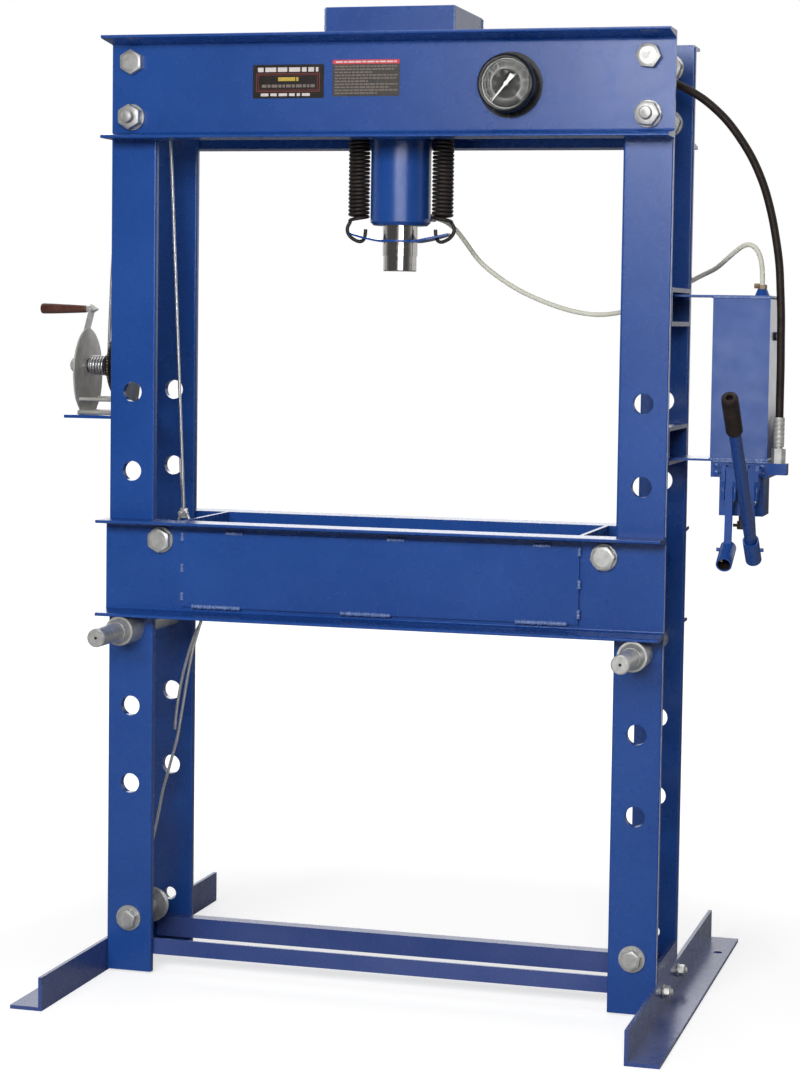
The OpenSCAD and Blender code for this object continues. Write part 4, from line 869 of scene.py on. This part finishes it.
# ---- rope clips
def rope_clip(bm, low, high):
    """A forged saddle with a U-bolt round the ropes and its two nuts, from the solid's corners in mm."""
    x0, y0, z0 = low
    x1, y1, z1 = high
    middle, leg, half = (z0 + z1) / 2, 0.0022, (x1 - x0) / 2 - 3
    add_box(bm, at(x0 + 1, y0 + 4, z0 + 1), at(x1 - 1, y1 - 5, z1 - 1), 0.0022)
    for x in (x0 + 3, x1 - 3):
        add_bolt_nut(bm, at(x, y0 + 4, middle), (0, -1, 0), 0.0048, 0.0035, 0.0005, leg, None)
        add_shank(bm, at(x, y0 + 4, middle), (0, 1, 0), leg, (y1 - y0 - 7) * MM, 14)
    bend = [at(x0 + 3, y1 - 4, middle)]
    for k in range(9):
        a = math.pi * k / 8
        bend.append(at((x0 + x1) / 2 - half * math.cos(a), y1 - 4 + 2.0 * math.sin(a), middle))
    add_tube(bm, bend, leg)


def rope_ends():
    """Eye round the bed bolt's sleeve, the clips and the loose end beside the lift rope."""
    eye, foot = 0.0214, 0.896
    legs, angles = (-0.440, -0.432), []
    for x, turn in zip(legs, (1, -1)):
        dx, dz = x + BED_BOLT_X, foot - BED_BOLT_Z
        angles.append(math.degrees(math.atan2(dz, dx) + turn * math.acos(eye / math.hypot(dx, dz))))
    loop = arc(-BED_BOLT_X, BED_BOLT_Z, eye, angles[0], angles[1] + 360, 40)
    path = [mid(legs[0], 0, foot)] + loop + [mid(legs[1], 0, foot)]
    bm = bmesh.new()
    for route in (smooth_path(path, 0.003), smooth_path(millimetres(LIFT_TAIL), 0.004)):
        add_tube(bm, route, ROPE_R, 18, STRANDS)
    finish_mesh("rope_eye", bm, "bed", "wire_rope", smooth_angle=60)
    bm = bmesh.new()
    rope_clip(bm, (-445, -6, 882), (-428, 12, 904))
    rope_clip(bm, (-406, -6, 680), (-391, 13, 694))
    add_box(bm, at(-397, -4, 693), at(-392, 4, 716), 0.0008)
    add_box(bm, at(-397, -12, 715), at(-392, 12, 739), 0.0015)
    finish_mesh("rope_clips", bm, "bed", "zinc", ("cable_clamps",))


# ---- winch
WINCH_Z = 1.180
PLATE_X = (-0.642, -0.560)
SHIELD = [(-36, -90), (36, -90), (58, -64), (67, -30), (66, 5), (54, 38), (34, 60), (10, 72),
          (-12, 72), (-38, 58), (-58, 34), (-70, 2), (-70, -30), (-60, -64)]
RIVETS = [(-28, 44), (22, 52), (-52, -10), (48, 10), (-46, -66), (46, -66)]


def shield_outline():
    """The side plate's outline: straight foot, rounded above."""
    points = [Vector((y * MM, z * MM, 0)) for y, z in SHIELD]
    return [(p.x, p.y) for p in smooth_path(points[1:] + points[:1], 0.006)]


def winch_plates():
    """The winch's side plates with their foot, spacer bars, hub and rivets."""
    bm = bmesh.new()
    outline = shield_outline()
    for x in PLATE_X:
        rings = []
        for dx, shrink in ((0.0, 0.985), (0.0006, 1.0), (0.0034, 1.0), (0.004, 0.985)):
            # the foot keeps its height, only the rounded part is eased
            eased = [(y * shrink, z * shrink if z > -0.085 else z) for y, z in outline]
            rings.append([mid(x + dx, y, WINCH_Z + z) for y, z in eased])
        add_rings(bm, rings)
    left, right = PLATE_X
    add_box(bm, mid(left - 0.003, -0.042, 1.085), mid(right + 0.013, 0.042, 1.092), 0.0012)
    for y in (-0.046, 0.046):
        add_shank(bm, mid(left, y, WINCH_Z - 0.066), (1, 0, 0), 0.004, 0.089, 20)
    hub = mid(left, 0, WINCH_Z)
    add_lathe(bm, [(0.013, 0), (0.013, 0.0022), (0.0115, 0.003)], place(hub, (-1, 0, 0)), 32)
    add_lathe(bm, [(0.013, 0), (0.013, 0.004)], place(hub, (1, 0, 0)), 32)
    finish_mesh("winch_plates", bm, "frame", "zinc", ("winch_frame",), material="dull_zinc")

    # domed rivet heads on the outer plate; the lower two end the spacer bars
    bm = bmesh.new()
    dome = [(0.0055, 0), (0.0052, 0.0014), (0.0036, 0.0026), (0.0004, 0.0030)]
    for y, z in RIVETS:
        add_lathe(bm, dome, place(mid(left, y * MM, WINCH_Z + z * MM), (-1, 0, 0)), 20)
    finish_mesh("winch_rivets", bm, "frame", "zinc", material="rivet")


def winch_drum():
    """Rope wound on the drum and the rim of the brake disc."""
    turns, radius, steps, advance = 6, 0.0172, 30, 0.0058
    path = []
    for k in range(turns * steps - 10):
        a = 2 * math.pi * k / steps
        path.append(mid(-0.632 + advance * k / steps, radius * math.sin(a), WINCH_Z + radius * math.cos(a)))
    bm = bmesh.new()
    add_tube(bm, path, ROPE_R, 14, (6, 0.0008, 0.045))
    add_lathe(bm, [(0.0143, 0), (0.0143, 0.0355)], place(mid(-0.6349, 0, WINCH_Z), (1, 0, 0)))
    finish_mesh("rope_coil", bm, "winch_drum", "wire_rope", ("cable_coil",), 60)

    bm = bmesh.new()
    rim = [(0.0595, 0), (0.0618, 0.0003), (0.0620, 0.0010), (0.0620, 0.0040), (0.0595, 0.0043)]
    add_lathe(bm, rim, place(mid(-0.5765, 0, WINCH_Z), (1, 0, 0)), 72, True)
    finish_mesh("disc_rim", bm, "winch_drum", "zinc", material="dull_zinc")


def turned(name, profile, start, axis, body, slot, nodes=(), steps=40, material=None):
    """A lathed piece: profile is a list of (radius, run) in mm along axis from start."""
    bm = bmesh.new()
    add_lathe(bm, [(r * MM, h * MM) for r, h in profile], place(start, axis), steps)
    finish_mesh(name, bm, body, slot, nodes, 40, material)


def crank_grip():
    """The winch crank's turned grip; crank is its arm, a the arm's angle from straight up."""
    crank, a = 0.131, math.radians(32.0)
    start = mid(-0.771, crank * math.sin(a), WINCH_Z + crank * math.cos(a))
    profile = [(6.8, 6.5), (6.8, 0.6), (7.6, 0), (9.2, 0.4), (10.2, 1.8), (10.6, 4.5), (10.2, 24),
               (9.2, 52), (8.1, 78), (7.4, 94), (6.9, 97), (5.8, 98), (4.1, 98), (4.1, 8)]
    turned("crank_grip_skin", profile, start, (1, 0, 0), "winch_grip", "brown_plastic", ("winch_grip",))


# ---- pump
def tilted(degrees):
    """A direction in the plane of Y and Z, leaning to the front by degrees from straight up."""
    a = math.radians(degrees)
    return Vector((0, -math.sin(a), math.cos(a)))


def pump_handle():
    """The handle's tube and its ribbed rubber grip."""
    base, axis, length = at(698, -62, 851.5), tilted(48.0), 456
    low = length - 90
    grip = [(11.4, low), (13.8, low + 0.6), (14.7, low + 3), (14.8, low + 6)]
    for k in range(12):
        run = low + 9 + 6 * k
        grip += [(14.8, run), (14.1, run + 0.8), (14.1, run + 1.8), (14.8, run + 2.6)]
    grip += [(14.8, length - 7), (14.4, length - 3), (13.4, length - 0.6), (12.4, length), (6.6, length),
             (6.0, length - 0.8), (6.0, length - 8)]
    turned("handle_grip_skin", grip, base, axis, "lever_right", "black_rubber", ("handle_grip",), 48)
    tube = [(8.5, 12), (8.5, 8.4), (10.8, 8.1), (11.0, 8.6), (11.0, length - 8.4), (8.5, length - 8.2),
            (8.5, length - 12)]
    turned("handle_tube", tube, base, axis, "lever_right", "blue_paint", ("pump_handle",), 48)


def pump_links():
    """Short rods under the lugs, the pivot pins' heads, the valve block's bolts and its bright bead."""
    bm = bmesh.new()
    for x in (652, 692):
        for side in (-1, 1):
            path = [(x + side * 10.5, -73, 984), (x + side * 10.6, -75, 974), (x + side * 10.2, -73, 960)]
            add_tube(bm, smooth_path(millimetres(path), 0.003), 0.0032)
    for x, side in ((638, -1), (706, 1)):
        add_hex(bm, place(at(x, -70, 1012), (side, 0, 0)), 0.0075, 0.005)
    for x in (624, 708):
        for z in (1008, 1021):
            add_hex(bm, place(at(x, -52, z), (0, -1, 0)), 0.0055, 0.004)
    finish_mesh("pump_links_bolts", bm, "frame", "blue_paint", smooth_angle=60)
    bm = bmesh.new()
    # the bead's lighter blue is a painted highlight
    weld(bm, [at(617, -52, 1029), at(719, -52, 1029)], 0.0026)
    finish_mesh("pump_weld", bm, "frame", "blue_paint", smooth_angle=80, material="bead")


def socket_bore_shade():
    """A dark sleeve in the left socket's open bore, painted shade for its unlit inside, and the round bolt
    end seen in it.
    """
    base, axis = at(651, -60, 872), tilted(118)
    lining = [(0.3, 9), (11.8, 9), (11.8, 57.2), (11.4, 57.2), (11.4, 9.6), (0.3, 9.6)]
    turned("left_socket_bore_shade", lining, base, axis, "lever_left", "blue_paint", material="dark_print_and_painted_shade")
    bolt = [(3.2, 9.6), (3.2, 44), (2.4, 45), (0.3, 45.2)]
    aside = base + Vector((-0.007, 0, 0))
    turned("left_socket_bolt", bolt, aside, axis, "lever_left", "zinc", steps=20, material="rivet")


def painted_edge_highlights():
    """Painted highlights: thin lilac-grey strips where an upright's corner, the bed's right end and the pump
    brackets' rims catch the light.
    """
    bm = bmesh.new()
    skin = 0.0004
    right, front = UPRIGHT_FR[1].x, UPRIGHT_FR[0].y
    for low, high in ((0.02, BED[0].z - 0.004), (BED[1].z + 0.002, HEAD[0].z - 0.003)):
        add_box(bm, (right - skin, front, low), (right + skin, front + 0.0026, high))
    x, near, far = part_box("pump_brackets")[1].x, MID_Y - INNER, MID_Y + INNER
    for z in BRACKET_Z:
        for rim in (z, z + 0.062):
            add_box(bm, (x - skin, near + 0.004, rim + 0.0008), (x + skin, far - 0.004, rim + 0.0072))
        add_box(bm, (x - skin, far - 0.0072, z + 0.009), (x + skin, far - 0.0008, z + 0.061))
    finish_mesh("frame_painted_edge_highlights", bm, "frame", "blue_paint", material="painted_edge_highlight")
    bm = bmesh.new()
    end, outer = BED[1].x, MID_Y - BED_WEB
    add_box(bm, (end - 0.0003, outer + 0.0008, BED[0].z + 0.012),
            (end + skin, outer + WEB - 0.0008, BED[1].z - 0.012))
    finish_mesh("bed_painted_edge_highlight", bm, "bed", "blue_paint", material="painted_edge_highlight")


def pin_details():
    """The centre-drill hole in the nose of each support pin, drawn as a thin dark disc: painted shade for the
    hole.
    """
    deep = 0.0004
    for name, body in (("support_pin_left", "pin_left"), ("support_pin_right", "pin_right")):
        low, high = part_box(name)
        spot = Vector(((low.x + high.x) / 2, low.y + deep / 2, (low.z + high.z) / 2))
        bm = bmesh.new()
        add_lathe(bm, [(0.0030, 0), (0.0028, deep), (0.0003, deep)], place(spot, (0, -1, 0)), 24)
        finish_mesh(name + "_mark", bm, body, "zinc", material="dark_print_and_painted_shade")


def fittings_detail():
    """Crimped ferrules at the pressure hose's ends, and the brass body and side nut of the filler."""
    profile = [(9.2, 0)]
    for k in range(6):
        profile += [(9.9, 3 + 8 * k), (9.9, 7 + 8 * k), (9.3, 8 + 8 * k), (9.3, 10 + 8 * k)]
    profile += [(9.9, 52), (9.0, 53.5)]
    turned("ferrule_low", profile, at(737, -45, 1112), (0, 0, -1), "frame", "zinc", material="dull_zinc")
    bm = bmesh.new()
    add_hex(bm, place(at(694, 0, 1345), (0, 0, 1), 10), 0.0088, 0.0085, True, 0.0068)
    add_hex(bm, place(at(690, 0, 1351), (-1, 0, 0)), 0.0053, 0.0106)
    finish_mesh("filler_brass", bm, "frame", "zinc", material="brass")
    short = [(r + 0.8, h * 0.46) for r, h in profile]
    turned("ferrule_high", short, at(95, -17, 1765), (-1, 0, 0), "frame", "zinc")


hoses()
ropes()
frame_bolts()
bed_bolts()
small_bolts()
springs()
gauge()
labels()
welds()
rope_ends()
winch_plates()
winch_drum()
crank_grip()
pump_handle()
pump_links()
pin_details()
socket_bore_shade()
painted_edge_highlights()
fittings_detail()


# ---- floor, light
FLOOR_GLOW_NEAR = 0.66
ROOM_IN_FRONT = 0.14
ROOM_DIFFUSE = 0.09


def map_range(nodes, links, value, low, high, to_low):
    """Runs from to_low to 1 as value goes from low to high."""
    node = nodes.new("ShaderNodeMapRange")
    for name, number in (("From Min", low), ("From Max", high), ("To Min", to_low), ("To Max", 1.0)):
        node.inputs[name].default_value = number
    links.new(value, node.inputs["Value"])
    return node.outputs[0]


def studio_floor():
    """Pale floor whose far parts turn into the white background; near the press it keeps the shadow."""
    bpy.ops.mesh.primitive_plane_add(size=60, location=(0, 0, 0))
    floor = bpy.context.object
    floor.name = "floor"
    surface = Surface("floor")
    nodes, links = surface.nodes, surface.links
    reach = nodes.new("ShaderNodeVectorMath")
    reach.operation = "LENGTH"
    links.new(nodes.new("ShaderNodeTexCoord").outputs["Object"], reach.inputs[0])
    glow = nodes.new("ShaderNodeMath")
    glow.operation = "MULTIPLY"
    links.new(map_range(nodes, links, reach.outputs["Value"], 0.8, 1.8, FLOOR_GLOW_NEAR), glow.inputs[0])
    links.new(nodes.new("ShaderNodeLightPath").outputs["Is Camera Ray"], glow.inputs[1])
    surface.feed(Base_Color=(0.50, 0.50, 0.50, 1), Roughness=0.9, Specular_IOR_Level=0.0,
                 Emission_Color=(1, 1, 1, 1), Emission_Strength=glow.outputs[0])
    floor.data.materials.append(surface.material)


def studio_world():
    """White to the camera and through glass, dimmer in front in reflections, soft for the rest."""
    world = bpy.data.worlds.new("world")
    bpy.context.scene.world = world
    world.use_nodes = True
    nodes, links = world.node_tree.nodes, world.node_tree.links
    background = nodes["Background"]
    background.inputs["Color"].default_value = (1, 1, 1, 1)
    axes = nodes.new("ShaderNodeSeparateXYZ")
    links.new(nodes.new("ShaderNodeTexCoord").outputs["Generated"], axes.inputs[0])
    path = nodes.new("ShaderNodeLightPath")
    mirrored = map_range(nodes, links, axes.outputs["Y"], -0.35, 0.30, ROOM_IN_FRONT)
    level = ROOM_DIFFUSE
    for ray, value in (("Is Glossy Ray", mirrored), ("Is Transmission Ray", 1.0), ("Is Camera Ray", 1.0)):
        node = nodes.new("ShaderNodeMix")
        node.data_type = "FLOAT"
        for socket, part in ((node.inputs["A"], level), (node.inputs["B"], value)):
            if isinstance(part, float):
                socket.default_value = part
            else:
                links.new(part, socket)
        links.new(path.outputs[ray], node.inputs["Factor"])
        level = node.outputs["Result"]
    links.new(level, background.inputs["Strength"])


def lamp(name, spot, aim, width, height, power, lights=True, shines=True):
    """An area lamp; lights is its part in shading, shines its part in reflections."""
    data = bpy.data.lights.new(name, "AREA")
    data.shape = "RECTANGLE"
    data.size, data.size_y = width, height
    data.energy = power
    light = bpy.data.objects.new(name, data)
    light.location = spot
    light.rotation_euler = (Vector(aim) - Vector(spot)).to_track_quat("-Z", "Y").to_euler()
    light.visible_camera = False
    light.visible_diffuse = lights
    light.visible_glossy = shines
    bpy.context.scene.collection.objects.link(light)


studio_floor()
studio_world()
lamp("key", (0.15, -4.95, 2.45), (0.0, 0.0, 1.0), 3.6, 1.2, 262, shines=False)
lamp("sheen", (0.05, -4.95, 2.58), (0.05, 0.0, 2.58), 1.15, 1.15, 66, lights=False)
lamp("low_sheen", (-0.02, -4.95, 1.07), (-0.02, 0.0, 1.07), 0.4, 0.8, 4.5, lights=False)
lamp("band", (2.10, -4.95, 2.00), (2.10, 0.0, 2.00), 3.0, 1.3, 78, lights=False)
lamp("top", (0.3, -0.4, 4.6), (0.0, 0.0, 1.0), 2.6, 2.6, 45)
lamp("behind", (-1.5, 5.0, 3.0), (0.0, 0.0, 1.0), 3.0, 2.0, 75)
bpy.context.scene.view_settings.view_transform = "Standard"
